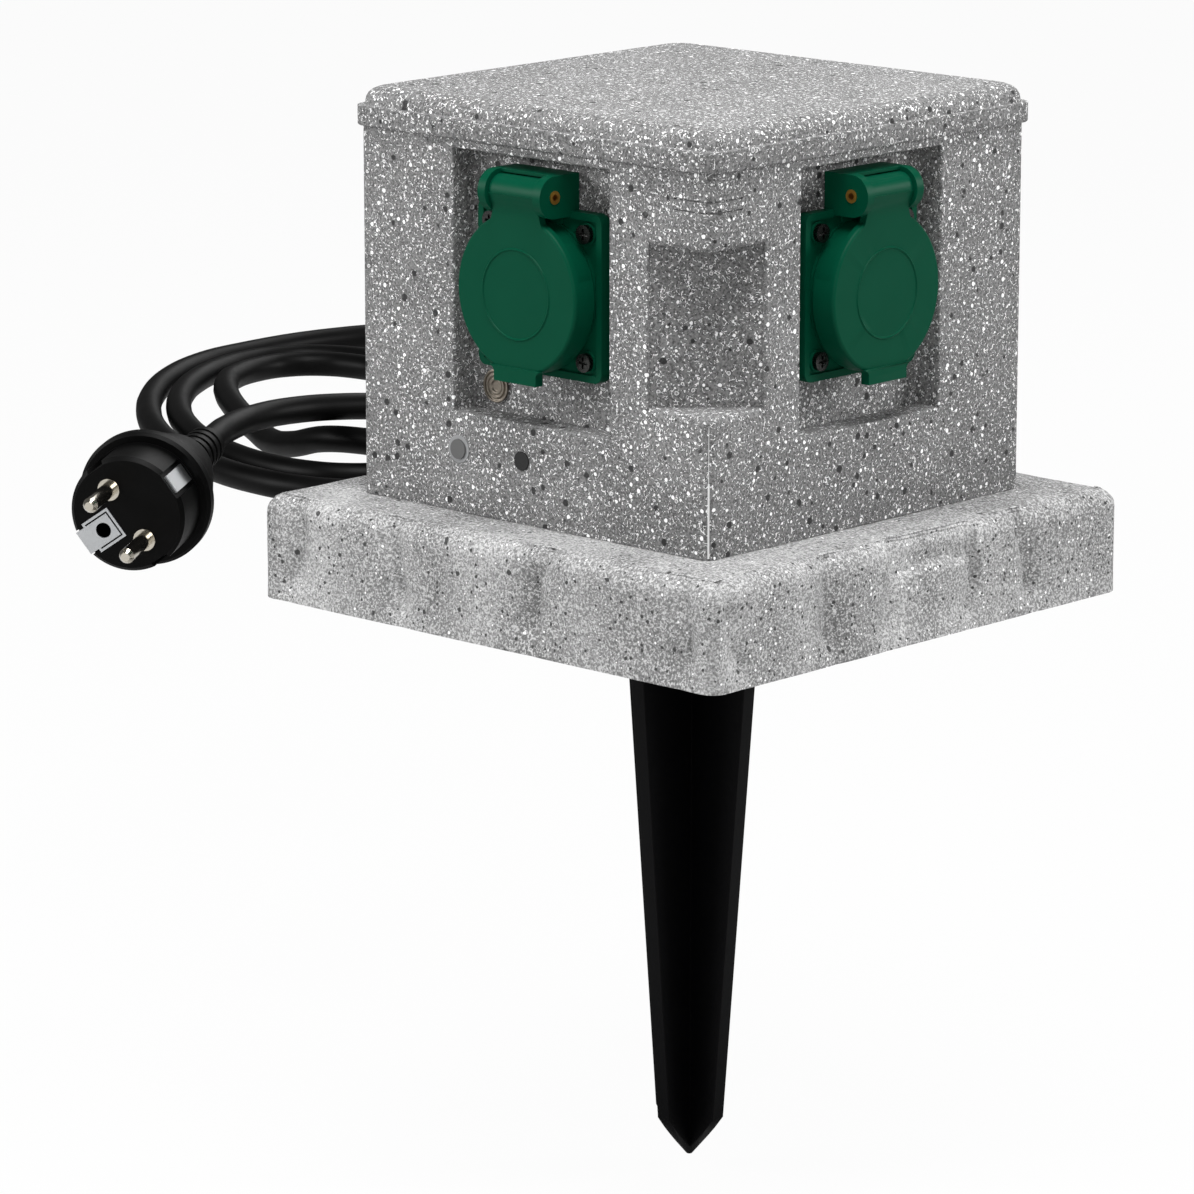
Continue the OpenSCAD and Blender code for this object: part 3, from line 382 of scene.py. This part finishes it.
# the same resin along the ridge where the two mould halves met, coloured pale as a painted highlight of the
# light that catches the ridge
seamHighlightResin = plasticMaterial("resin_seam_painted_highlight", "#d6d6d6", 0.5, 0.4, 0.05, 0.08, 0.3)
darkWindow = plasticMaterial("smoked_polycarbonate", "#161616", 0.2, 0.5, 0.02, 0.05, 0.3)
boardGreen = plasticMaterial("lacquered_fibreglass_board", "#1f5a2c", 0.3)
relayBlue = plasticMaterial("blue_relay_case", "#2c59a8", 0.35)
ivoryPlastic = plasticMaterial("ivory_polyamide", "#d8d2b4", 0.5)
wireBrown = plasticMaterial("brown_wire_pvc", "#5a3a26", 0.45)
# colour, roughness, width of the turning marks in mm, unevenness of the colour
zincSteel = metalMaterial("zinc_plated_steel", "#c9cbcd", 0.3)
# steel screws, darkened as painted shade standing in for the deep wells they sit in
wellShadedSteel = metalMaterial("steel_screws_painted_well_shade", "#4a4a49", 0.26)
dullSteel = metalMaterial("weathered_zinc_screw", "#8f877c", 0.42, 0.6, 0.5)
brass = metalMaterial("turned_brass", "#e3a94f", 0.38)
nickel = metalMaterial("nickel_plated_brass", "#cfc9bc", 0.14)
spring = metalMaterial("stainless_spring_wire", "#b9bbbd", 0.3)
print("materials ready")

# ---- camera: on the line of sight of the photo
view = {
    "azimuth": 43.163, "elevation": 13.107, "distance": 1.761379, "aside": -0.02889, "up": -0.001279,
    "lens": 173.5, "sensor": 36, "farEnd": 20}
a, e = math.radians(view["azimuth"]), math.radians(view["elevation"])
back = Vector((math.sin(a) * math.cos(e), -math.cos(a) * math.cos(e), math.sin(e)))
right = Vector((math.cos(a), math.sin(a), 0))
target = right * view["aside"] + Vector((0, 0, view["up"]))
deselectAll()
bpy.ops.object.camera_add(location=target + back * view["distance"], rotation=(math.pi / 2 - e, 0, a))
camera = bpy.context.object
camera.data.lens = view["lens"]
camera.data.sensor_width = view["sensor"]
camera.data.clip_end = view["farEnd"]
bpy.context.scene.camera = camera
bpy.context.scene.view_settings.view_transform = "Standard"

# ---- floor, backdrop and light
studio = {
    # the floor lies just under the spike's tip, and the camera sees it nearly white by its own glow
    "size": 14, "floor": (0, 0, -0.184), "colour": "#bababa", "rough": 0.9, "glow": 0.96,
    "roomLight": 0.12, "aim": (0, 0, 0.05)}
deselectAll()
bpy.ops.mesh.primitive_plane_add(size=studio["size"], location=studio["floor"])
floor = bpy.context.object
floor.name = "floor"
floorMaterial, tree, surface = newMaterial("pale_studio_floor")
surface.inputs["Base Color"].default_value = colour(studio["colour"])
surface.inputs["Roughness"].default_value = studio["rough"]
rays = addNode(tree, "ShaderNodeLightPath")
most = addNode(tree, "ShaderNodeMath", {"operation": "MULTIPLY", 1: studio["glow"]},
               {0: rays.outputs["Is Camera Ray"]})
glow = addNode(tree, "ShaderNodeEmission", {"Color": (1, 1, 1, 1), "Strength": 1.0})
mixed = addNode(tree, "ShaderNodeMixShader", {}, {0: most.outputs["Value"], 1: surface.outputs["BSDF"],
                                                  2: glow.outputs["Emission"]})
tree.links.new(mixed.outputs["Shader"], tree.nodes["Material Output"].inputs["Surface"])
floor.data.materials.append(floorMaterial)

world = bpy.data.worlds.new("studio")
bpy.context.scene.world = world
world.use_nodes = True
tree = world.node_tree
tree.nodes.clear()
rays = addNode(tree, "ShaderNodeLightPath")
strength = addNode(tree, "ShaderNodeMapRange", {"To Min": studio["roomLight"], "To Max": 1.0},
                   {"Value": rays.outputs["Is Camera Ray"]})
sky = addNode(tree, "ShaderNodeBackground", {"Color": (1, 1, 1, 1)},
              {"Strength": strength.outputs["Result"]})
addNode(tree, "ShaderNodeOutputWorld", {}, {"Surface": sky.outputs["Background"]})

softboxes = [
    # name, place, size, watts: one over the front, one at each side, one behind, a weak one in front
    ("over", (0.3, -0.33, 1.35), 0.8, 27), ("left", (-1.05, -1.2, 0.6), 0.6, 20),
    ("right", (1.15, 1.1, 0.6), 0.6, 20), ("behind", (-0.6, 1.3, 0.9), 1.0, 8),
    ("front", (1.0, -1.07, 0.4), 0.5, 5)]
for name, place, size, watts in softboxes:
    deselectAll()
    aim = (Vector(studio["aim"]) - Vector(place)).to_track_quat("-Z", "Y").to_euler()
    bpy.ops.object.light_add(type="AREA", location=place, rotation=aim)
    lamp = bpy.context.object
    lamp.name = "softbox_" + name
    lamp.data.size = size
    lamp.data.energy = watts
print("stage and lights set")

# ---- slab: hewn block with a soft top edge
slab = {
    "half": 93, "height": 32.5, "corner": 5, "topEdge": 6, "wall": 5, "topWall": 3,
    # the mesh is sliced at these steps, along and up
    "stepAlong": 2, "stepUp": 1.8,
    # no hewing this near to a corner, the deepest cut, and how high the calm foot reaches
    "calm": 7, "most": 4.6, "foot": 9,
    # how far the creases lean and waver sideways, how rough the faces are, how much the top dips
    "lean": 3, "waver": 1.5, "rough": 0.4, "dip": 0.4,
    # how deep each side is hewn along its length: creases between humps
    "faces": [
        [(-93, 0.2), (-84, 1), (-80, 3.6), (-75, 0.8), (-60, 0.1), (-45, 0.9), (-40, 1.6), (-36, 4.4),
         (-31, 0.9), (-12, 0.1), (12, 0.8), (18, 1.6), (22, 4.4), (27, 0.9), (47, 0.2), (66, 0.7), (74, 1.4),
         (78, 4), (82, 0.8), (93, 0.2)],
        [(-93, 0.2), (-87, 0.8), (-84, 2.6), (-80, 0.5), (-55, 0.1), (-46, 0.8), (-43, 1.4), (-39, 4.4),
         (-34, 0.8), (-26, 0.1), (-17, 0.5), (-14, 3.6), (-8, 2), (18, 1.6), (22, 3.6), (24, 0.3), (40, 0.4),
         (44, 1), (48, 4.2), (53, 0.8), (75, 0.2), (93, 0.2)],
        [(-93, 0.2), (-74, 1), (-70, 4), (-65, 0.7), (-42, 0.2), (-34, 1), (-30, 4.2), (-25, 0.8), (-2, 0.1),
         (9, 1), (14, 4.3), (19, 0.8), (45, 0.2), (54, 1), (58, 4), (62, 0.7), (93, 0.2)],
        [(-93, 0.2), (-66, 0.4), (-61, 1.1), (-57, 4.2), (-52, 0.8), (-20, 0.1), (-12, 1), (-8, 4.3),
         (-3, 0.9), (30, 0.2), (40, 1), (44, 4.2), (49, 0.8), (74, 0.2), (93, 0.2)]],
    # the broken-out ledge under the top edge of side 1
    "notch": {"from": -14, "to": 21.5, "foot": 20.5, "depth": 3.6}}


def sliceAcross(axis, places):
    # adds a row of points at each place, in mm
    for place in places:
        at, out = [0, 0, 0], [0, 0, 0]
        at[axis], out[axis] = place / 1000, 1
        bpy.ops.mesh.select_all(action="SELECT")
        bpy.ops.mesh.bisect(plane_co=at, plane_no=out)


slabPiece = block("stone_slab", [-slab["half"], -slab["half"], 0],
                  [slab["half"], slab["half"], slab["height"]])
selectFaces(slabPiece, lambda c, n: n.z < -0.9)
bpy.ops.mesh.inset(thickness=slab["wall"] / 1000)
extrudeBy(0, 0, slab["height"] - slab["topWall"])
bpy.ops.object.mode_set(mode="OBJECT")
outside, topLevel = slab["half"] / 1000 - 0.0001, slab["height"] / 1000 - 0.0001
roundEdges(slabPiece, lambda p, q: min(abs(p.x), abs(p.y)) > outside and abs(p.z - q.z) > 0.03,
           slab["corner"], 4)
roundEdges(slabPiece, lambda p, q: p.z > topLevel and q.z > topLevel, slab["topEdge"], 5)
pick(slabPiece)
bpy.ops.object.mode_set(mode="EDIT")
for axis in (0, 1):
    sliceAcross(axis, np.arange(slab["stepAlong"] - slab["half"], slab["half"] - 1, slab["stepAlong"]))
sliceAcross(2, np.arange(slab["stepUp"], slab["height"] - slab["topEdge"], slab["stepUp"]))
bpy.ops.object.mode_set(mode="OBJECT")


def held(value):
    # kept between 0 and 1
    return min(max(value, 0), 1)


def hollowDepth(side, along, up):
    # mm inward at a place on one side: leaning creases between humps, under a little roughness
    u = along + slab["lean"] * math.sin(up * 0.1 + side * 2 + along * 0.045)
    u += slab["waver"] * noise.noise(Vector((along * 0.07, up * 0.1, side * 7)))
    depth = float(np.interp(u, *zip(*slab["faces"][side])))
    depth += slab["rough"] * (1 + noise.noise(Vector((along * 0.12, up * 0.12, side * 3.3)))) * 0.5
    depth += slab["rough"] * max(0, noise.noise(Vector((along * 0.35, up * 0.3, side * 5.1))))
    foot = held(up / slab["foot"])
    depth *= 0.12 + 0.88 * foot * foot * (3 - 2 * foot)
    depth *= held((slab["half"] - abs(along)) / slab["calm"])
    if side == 1:
        notch = slab["notch"]
        sides = held((along - notch["from"]) / 2) * held((notch["to"] - along) / 2)
        rise = held((up - notch["foot"] - 0.8 * math.sin(along * 0.2)) / 1.8)
        # it hangs over a little, so it stays in its own shade
        over = 1 - 0.8 * (up - notch["foot"]) / (slab["height"] - notch["foot"])
        depth += notch["depth"] * sides * rise * over
    return min(depth, slab["most"])


mesh = slabPiece.data
normals = [Vector(v.normal) for v in mesh.vertices]
for v, n in zip(mesh.vertices, normals):
    x, y, z = v.co * 1000
    reach = max(abs(x), abs(y))
    if reach < slab["half"] - slab["topEdge"] - 0.5 or z < -0.1:
        continue
    flat = Vector((n.x, n.y, 0))
    inner = reach < slab["half"] - slab["wall"] - 1.2 and z < slab["height"] - slab["topEdge"]
    if flat.length < 0.15 or inner:
        continue
    if flat.dot(Vector((x, y, 0))) < 0:
        continue
    side = 0 if -y >= abs(x) else 1 if x >= abs(y) else 2 if y >= abs(x) else 3
    along = (x, y, -x, -y)[side]
    v.co -= flat.normalized() * min(1, flat.length * 1.4) * hollowDepth(side, along, z) / 1000
for v, n in zip(mesh.vertices, normals):
    # slow dips in the top
    x, y, z = v.co * 1000
    if n.z > 0.5 and z > 30:
        v.co.z -= slab["dip"] / 1000 * (0.5 + 0.5 * noise.noise(Vector((x * 0.05, y * 0.05, 1.5))))
pick(slabPiece)
bpy.ops.object.shade_smooth_by_angle(angle=math.radians(32))
dress(slabPiece, lightStone, "station", ["base_slab"])
print("slab hewn,", len(mesh.polygons), "faces")

# ---- cap: a shallow lid with a rim and a well rounded top edge, built up ring by ring
cap = {
    "half": 73, "foot": 145, "rim": 6, "corner": 6, "inner": 65.5, "depth": 9, "lip": 0.7,
    # each ring goes in and up by these mm: a soft step above the rim, then the rounded edge
    "rings": [(0.3, 0.15), (1.3, 0.1), (0.1, 0.9), (0.2, 1.35), (0.55, 1.25), (1.0, 1.05), (1.35, 0.65),
              (1.6, 0.35)]}
capPiece = block("stone_cap", [-cap["half"], -cap["half"], cap["foot"]],
                 [cap["half"], cap["half"], cap["foot"] + cap["rim"]])
roundEdges(capPiece, lambda p, q: abs(p.z - q.z) > 0.004, cap["corner"], 5)
selectFaces(capPiece, lambda c, n: n.z < -0.9)
bpy.ops.mesh.inset(thickness=(cap["half"] - cap["inner"]) / 1000)
extrudeBy(0, 0, cap["depth"] / 2)
bpy.ops.object.mode_set(mode="OBJECT")
selectFaces(capPiece, lambda c, n: n.z > 0.9)
reach = cap["half"]
for inward, upward in cap["rings"]:
    extrudeBy(0, 0, upward)
    shrink = (reach - inward) / reach
    bpy.ops.transform.resize(value=(shrink, shrink, 1), center_override=(0, 0, 0))
    reach -= inward
bpy.ops.object.mode_set(mode="OBJECT")


def onCapFoot(p):
    return p.z < (cap["foot"] + 0.1) / 1000 and max(abs(p.x), abs(p.y)) > (cap["half"] - 2) / 1000


roundEdges(capPiece, lambda p, q: onCapFoot(p) and onCapFoot(q), cap["lip"], 3)
bpy.ops.object.shade_smooth_by_angle(angle=math.radians(40))
dress(capPiece, greyStone, "station", ["cap"])
print("cap built")

# ---- lids: a disc with a short skirt, a neck up to the knuckle, and a thumb tab, all drawn on side 0
lid = {
    "middle": 102.5, "back": 74.6, "front": 77.0, "radius": 24, "skirt": 1.5, "skirtEnd": 69.0,
    "skirtTop": 109, "rim": 1, "axisOut": 73.7, "axisUp": 132.2, "knuckle": 5, "pinEye": 2.2, "eyeDeep": 0.4,
    # how wide its edges are rounded, in metres
    "soft": 0.0003,
    # the raised circle's steps, each inward and outward
    "circle": [(10.2, 0), (0.3, 0.3), (0.25, 0), (0.3, -0.3)],
    # the neck's width, how much wider its foot is on each side, and from where to where the foot reaches
    "neck": 18.4, "flare": 4.5, "neckFoot": [119.5, 121.5],
    # the neck's steps: first up with a share of the width, then up and out
    "narrow": [(0.9, 0.86), (0.9, 0.905), (1.0, 0.94), (1.2, 0.965), (1.4, 0.952)],
    "leanOut": [(1.6, 0.5), (1.8, 0.8), (1.8, 0.7)],
    "tab": 17, "tabFoot": 76.2, "tabTall": 2.2, "tabFront": 77.6,
    "tabSteps": [(0.9, 1.0), (0.8, 1.06), (0.7, 1.14)]}


def turnedBar(name, sides, radius, length, place, turn):
    # a cylinder in mm, turned about its middle
    deselectAll()
    bpy.ops.mesh.primitive_cylinder_add(
        vertices=sides, radius=radius / 1000, depth=length / 1000, location=[v / 1000 for v in place],
        rotation=turn)
    piece = bpy.context.object
    piece.name = name
    bpy.ops.object.transform_apply(location=True, rotation=True, scale=True)
    return piece


def lidDisc(c):
    # the disc, with a rounded front edge, a raised circle and a skirt behind
    disc = turnedBar("lid_cover", 96, c["radius"], c["front"] - c["back"],
                     (0, -(c["front"] + c["back"]) / 2, c["middle"]), (math.pi / 2, 0, 0))
    selectFaces(disc, lambda m, n: n.y < -0.9)
    for inward, outward in c["circle"]:
        bpy.ops.mesh.inset(thickness=inward / 1000, depth=outward / 1000)
    bpy.ops.object.mode_set(mode="OBJECT")
    selectFaces(disc, lambda m, n: n.y > 0.9)
    bpy.ops.mesh.inset(thickness=c["skirt"] / 1000)
    bpy.ops.object.mode_set(mode="OBJECT")

    def fromMiddle(p):
        return Vector((p.x, p.z - c["middle"] / 1000)).length

    def onRim(p):
        return -p.y > (c["front"] - 0.05) / 1000 and abs(fromMiddle(p) - c["radius"] / 1000) < 0.0001

    inner = (c["radius"] - c["skirt"]) / 1000
    selectFaces(disc, lambda m, n: n.y > 0.9 and fromMiddle(m) > inner * 0.95 and m.z < c["skirtTop"] / 1000)
    extrudeBy(0, c["back"] - c["skirtEnd"], 0)
    bpy.ops.object.mode_set(mode="OBJECT")
    roundEdges(disc, lambda p, q: onRim(p) and onRim(q), c["rim"], 4)
    return disc


def lidNeck(c):
    # narrows in a curve from the disc, then leans out to the knuckle
    wide = c["neck"] / 2 + c["flare"]
    neck = block("lid_neck", [-wide, -c["front"], c["neckFoot"][0]], [wide, -c["back"], c["neckFoot"][1]])
    selectFaces(neck, lambda m, n: n.z > 0.9)
    for up, shrink in c["narrow"]:
        extrudeBy(0, 0, up)
        bpy.ops.transform.resize(value=(shrink, 1, 1))
    for up, out in c["leanOut"]:
        extrudeBy(0, -out, up)
    bpy.ops.object.mode_set(mode="OBJECT")
    return neck


def lidKnuckle(c):
    # goes round the pin
    knuckle = turnedBar("lid_knuckle", 48, c["knuckle"], c["neck"], (0, -c["axisOut"], c["axisUp"]),
                        (0, math.pi / 2, 0))
    selectFaces(knuckle, lambda m, n: abs(n.x) > 0.9)
    bpy.ops.mesh.inset(thickness=(c["knuckle"] - c["pinEye"]) / 1000, depth=-c["eyeDeep"] / 1000)
    bpy.ops.object.mode_set(mode="OBJECT")
    return knuckle


def lidTab(c):
    # the thumb tab, a little wider at its foot
    tab = block("lid_tab", [-c["tab"] / 2, -c["tabFront"], c["tabFoot"]],
                [c["tab"] / 2, -c["back"], c["tabFoot"] + c["tabTall"]])
    selectFaces(tab, lambda m, n: n.z > 0.9)
    for up, grow in c["tabSteps"]:
        extrudeBy(0, 0, up)
        bpy.ops.transform.resize(value=(grow, 1, 1))
    bpy.ops.object.mode_set(mode="OBJECT")
    return tab


def lidPiece():
    disc = lidDisc(lid)
    for extra in (lidNeck(lid), lidKnuckle(lid), lidTab(lid)):
        addTo(disc, extra)
    soften(disc, lid["soft"], 2, 40)
    return disc


firstLid = lidPiece()
for k in range(4):
    piece = firstLid
    if k:
        piece = firstLid.copy()
        piece.data = firstLid.data.copy()
        bpy.context.collection.objects.link(piece)
        piece.data.transform(Matrix.Rotation(math.radians(90 * k), 4, "Z"))
    piece.name = "lid_cover_%d" % k
for k in range(4):
    piece = bpy.data.objects["lid_cover_%d" % k]
    dress(piece, greenPlastic, "lid_%d" % k, ["lid_%d" % k])
print("lids built")

# ---- housing, spike, plug and sockets: the solids with their edges softened
shells = [
    ("stone_housing", "housing", greyStone, "stone_grey", 0.0005),
    ("spike_body", "ground_spike", blackPlastic, "black_plastic", 0.0006),
    ("plug_shell", "plug_body", blackRubber, "black_rubber", 0.0004)]
for k in range(4):
    shells.append(("socket_front_%d" % k, "socket_%d" % k, greenPlastic, "green_plastic", 0.0004))
housing = {
    # half side, how round its upright corners are, and a span up that holds it all
    "half": 71, "corner": 3.5, "span": [30, 150],
    # ends up, and how round: the grips lie this far or more from the middle, the recesses this far or less
    "grip": {"low": 74, "high": 122, "side": 33, "round": 2.3},
    "recess": {"low": 40, "high": 143, "side": 32, "round": 0.7},
    # the two fine grooves across the corner over each grip: feet, height, depth and reach on each face
    "grooves": [133.2, 136.4], "grooveUp": 0.5, "grooveIn": 0.6, "reach": 14}


def onFace(p):
    return abs(max(abs(p.x), abs(p.y)) * 1000 - housing["half"]) < 0.01


def onSkin(p):
    # on a face or on the rounding between two faces
    return max(abs(p.x), abs(p.y)) * 1000 > housing["half"] - 0.32 * housing["corner"]


def fromMid(p):
    # how far a point on a side is from the middle of that side, in mm
    return min(abs(p.x), abs(p.y)) * 1000


def roundedPrism(name, half, low, high):
    prism = block(name, [-half, -half, low], [half, half, high])
    roundEdges(prism, lambda p, q: abs(p.z - q.z) > 0.001, housing["corner"], 8)
    return prism


def cutGrooves(piece):
    near, far = housing["half"] - housing["reach"], housing["half"] + 5
    for foot in housing["grooves"]:
        top = foot + housing["grooveUp"]
        cutter = block("groove", [near, -far, foot], [far, -near, top])
        addTo(cutter, block("groove_back", [-far, near, foot], [-near, far, top]))
        core = roundedPrism("core", housing["half"] - housing["grooveIn"], foot - 1, foot + 2)
        addTo(cutter, core, "DIFFERENCE")
        addTo(piece, cutter, "DIFFERENCE")


def roundRims(piece):
    # the prism trims the sharp corners, a hair outside the faces
    addTo(piece, roundedPrism("prism", housing["half"] + 0.005, *housing["span"]), "INTERSECT")
    grip, recess = housing["grip"], housing["recess"]
    roundEdges(piece, lambda p, q: onSkin(p) and onSkin(q) and min(fromMid(p), fromMid(q)) > grip["side"]
               and min(p.z, q.z) * 1000 > grip["low"] - 0.1 and max(p.z, q.z) * 1000 < grip["high"] + 0.1,
               grip["round"], 4)
    roundEdges(piece, lambda p, q: onFace(p) and onFace(q) and max(fromMid(p), fromMid(q)) < recess["side"]
               and min(p.z, q.z) * 1000 > recess["low"] and max(p.z, q.z) * 1000 < recess["high"]
               and (p - q).length > 0.03, recess["round"], 3)


for name, node, material, slotName, width in shells:
    piece = copyOfNode(name, node)
    if node == "housing":
        roundRims(piece)
    soften(piece, width)
    if node == "housing":
        cutGrooves(piece)
    dress(piece, material, "station", [node])
print("shells softened")

# ---- mould seams: a fine ridge down the corner under each grip, wider at its foot, coloured pale as a painted highlight
seam = {
    # ends up and half width of each stretch, how deep it sits in the corner and how far it stands out
    "stretches": [(33, 55, 0.28), (54, 71.5, 0.08)], "deep": 1, "out": 0.2, "soft": 0.00008}
corner = (housing["half"] - housing["corner"]) * math.sqrt(2) + housing["corner"]
for name, turn in (("corner_seam_0", -45), ("corner_seam_1", 135)):
    piece = None
    for low, high, half in seam["stretches"]:
        stretch = block(name, [corner - seam["deep"], -half, low], [corner + seam["out"], half, high])
        if piece:
            addTo(piece, stretch)
        else:
            piece = stretch
    piece.data.transform(Matrix.Rotation(math.radians(turn), 4, "Z"))
    soften(piece, seam["soft"])
    # the pale colour is a painted highlight along the ridge
    dress(piece, seamHighlightResin, "station")
print("seams built")

# ---- recess screw: a flat washer with turned rings round a sunk star head
ring = {
    "across": -21.8, "up": 70.5, "floor": 62.5, "thick": 0.9, "radius": 5, "soft": 0.00008,
    # each step goes inward and then outward from the floor by these mm
    "steps": [(0.6, 0), (0.12, -0.5), (0.5, 0), (0.12, 0.6), (0.55, 0), (0.12, -0.4), (0.35, 0), (0.1, 0.25),
              (0.8, 0), (0.3, -0.5)]}
ringPiece = turnedBar("ringed_screw", 64, ring["radius"], ring["thick"],
                      (ring["across"], -(ring["floor"] + ring["thick"] / 2), ring["up"]), (math.pi / 2, 0, 0))
selectFaces(ringPiece, lambda c, n: n.y < -0.9)
for inward, outward in ring["steps"]:
    bpy.ops.mesh.inset(thickness=inward / 1000, depth=outward / 1000)
bpy.ops.object.mode_set(mode="OBJECT")
soften(ringPiece, ring["soft"], 2, 40)
dress(ringPiece, dullSteel, "station", ["recess_screw"])
print("recess screw turned")

# ---- lead: one rubber cord from the gland to the plug
# its points are right, away and up in mm, in a frame turned about Z
lead = {
    "turn": 43, "radius": 4.5, "glandMouth": (-114, 36, 17),
    "fromGland": [[-79, 134, 15.5], [-93, 147, 15], [-107, 161, 14.4], [-121, 174, 12.5], [-132, 190, 7.5],
                  [-140, 208, 4.5], [-147, 230, 4.5], [-153, 252, 4.5], [-158, 274, 4.5], [-161, 291, 4.5],
                  [-162.5, 308, 4.5], [-161.5, 322, 4.5]],
    "toPlug": [[-124, 401, 4.5], [-102, 408, 4.5], [-78, 403, 4.5], [-57, 388, 4.5], [-40, 367, 4.5],
               [-28, 345, 4.5], [-20, 320, 4.5], [-18, 295, 4.5], [-22, 270, 5], [-31, 247, 8],
               [-44, 227, 12.5], [-60, 211, 16], [-77, 197, 18.5], [-95, 184, 21.5], [-114, 172, 24],
               [-131, 160, 25], [-143, 144, 25.5], [-150, 124, 26]],
    "plugEnd": [[-153, 103.2, 27], [-154.9, 95.4, 26.4], [-157.1, 86.7, 25.7]],
    "coil": {"mid": (-120, 246), "lean": 10, "half": (66, 133), "step": (11, 20), "drift": 6, "start": 110,
             "loops": 2, "points": 24}}


def fromLay(p):
    c, s = math.cos(math.radians(lead["turn"])), math.sin(math.radians(lead["turn"]))
    return Vector((p[0] * c - p[1] * s, p[0] * s + p[1] * c, p[2])) / 1000


def coilPoint(t):
    coil = lead["coil"]
    turn, lean = math.radians(coil["start"] + 360 * t), math.radians(coil["lean"])
    u = (coil["half"][0] - coil["step"][0] * t) * math.cos(turn)
    v = coil["drift"] * t + (coil["half"][1] - coil["step"][1] * t) * math.sin(turn)
    return [coil["mid"][0] + u * math.cos(lean) - v * math.sin(lean),
            coil["mid"][1] + u * math.sin(lean) + v * math.cos(lean), lead["radius"]]


perLoop, loops = lead["coil"]["points"], lead["coil"]["loops"]
coilRoute = [coilPoint(k / perLoop) for k in range(perLoop * loops + 1)]
mouth = Vector(lead["glandMouth"]) / 1000
route = [mouth + Vector((0.012, 0, 0)), mouth, mouth - Vector((0.011, 0, 0))]
route += [fromLay(p) for p in lead["fromGland"] + coilRoute[::-1] + lead["toPlug"] + lead["plugEnd"]]
deselectAll()
bpy.ops.curve.primitive_bezier_curve_add(enter_editmode=False, location=(0, 0, 0))
cord = bpy.context.object
cord.name = "rubber_lead"
line = cord.data
line.splines.clear()
strand = line.splines.new("BEZIER")
strand.bezier_points.add(len(route) - 1)
for point, place in zip(strand.bezier_points, route):
    point.co = place
    point.handle_left_type = point.handle_right_type = "AUTO"
line.dimensions = "3D"
line.bevel_depth = lead["radius"] / 1000
line.bevel_resolution = 7
line.resolution_u = 6
line.use_fill_caps = True
dress(cord, blackRubber, "station", ["cord_tail", "cord_coil", "cord_lead"])
print("lead laid,", len(route), "points")

# ---- the other solids keep their shape and get their finish
finishes = {
    "bottom_plate": blackPlastic, "bottom_screws": zincSteel, "cap_seal": sealRubber,
    "body_screws": zincSteel, "spike_washer": zincSteel, "spike_nut": brass,
    # the flange screws get steel darkened as painted shade of their wells
    "flange_gaskets": sealRubber, "flange_screws": wellShadedSteel, "push_button": greyPlastic,
    "button_ring": paleRing, "sensor_window": darkWindow, "control_board": boardGreen,
    "relay": relayBlue, "cable_gland": blackPlastic, "gland_nut": blackPlastic,
    "gland_locknut": blackPlastic, "terminal_block": ivoryPlastic, "supply_wires": wireBrown,
    "wiring_loom": wireBrown, "plug_pins": nickel, "plug_earth": zincSteel}
for k in range(4):
    finishes["lid_seal_%d" % k] = sealRubber
    finishes["hinge_pin_%d" % k] = brass
    finishes["lid_spring_%d" % k] = spring
    finishes["contacts_%d" % k] = brass
    finishes["earth_clips_%d" % k] = zincSteel
for name, material in finishes.items():
    nodes[name].data.materials.clear()
    nodes[name].data.materials.append(material)
print("finishes given to", len(finishes), "nodes")
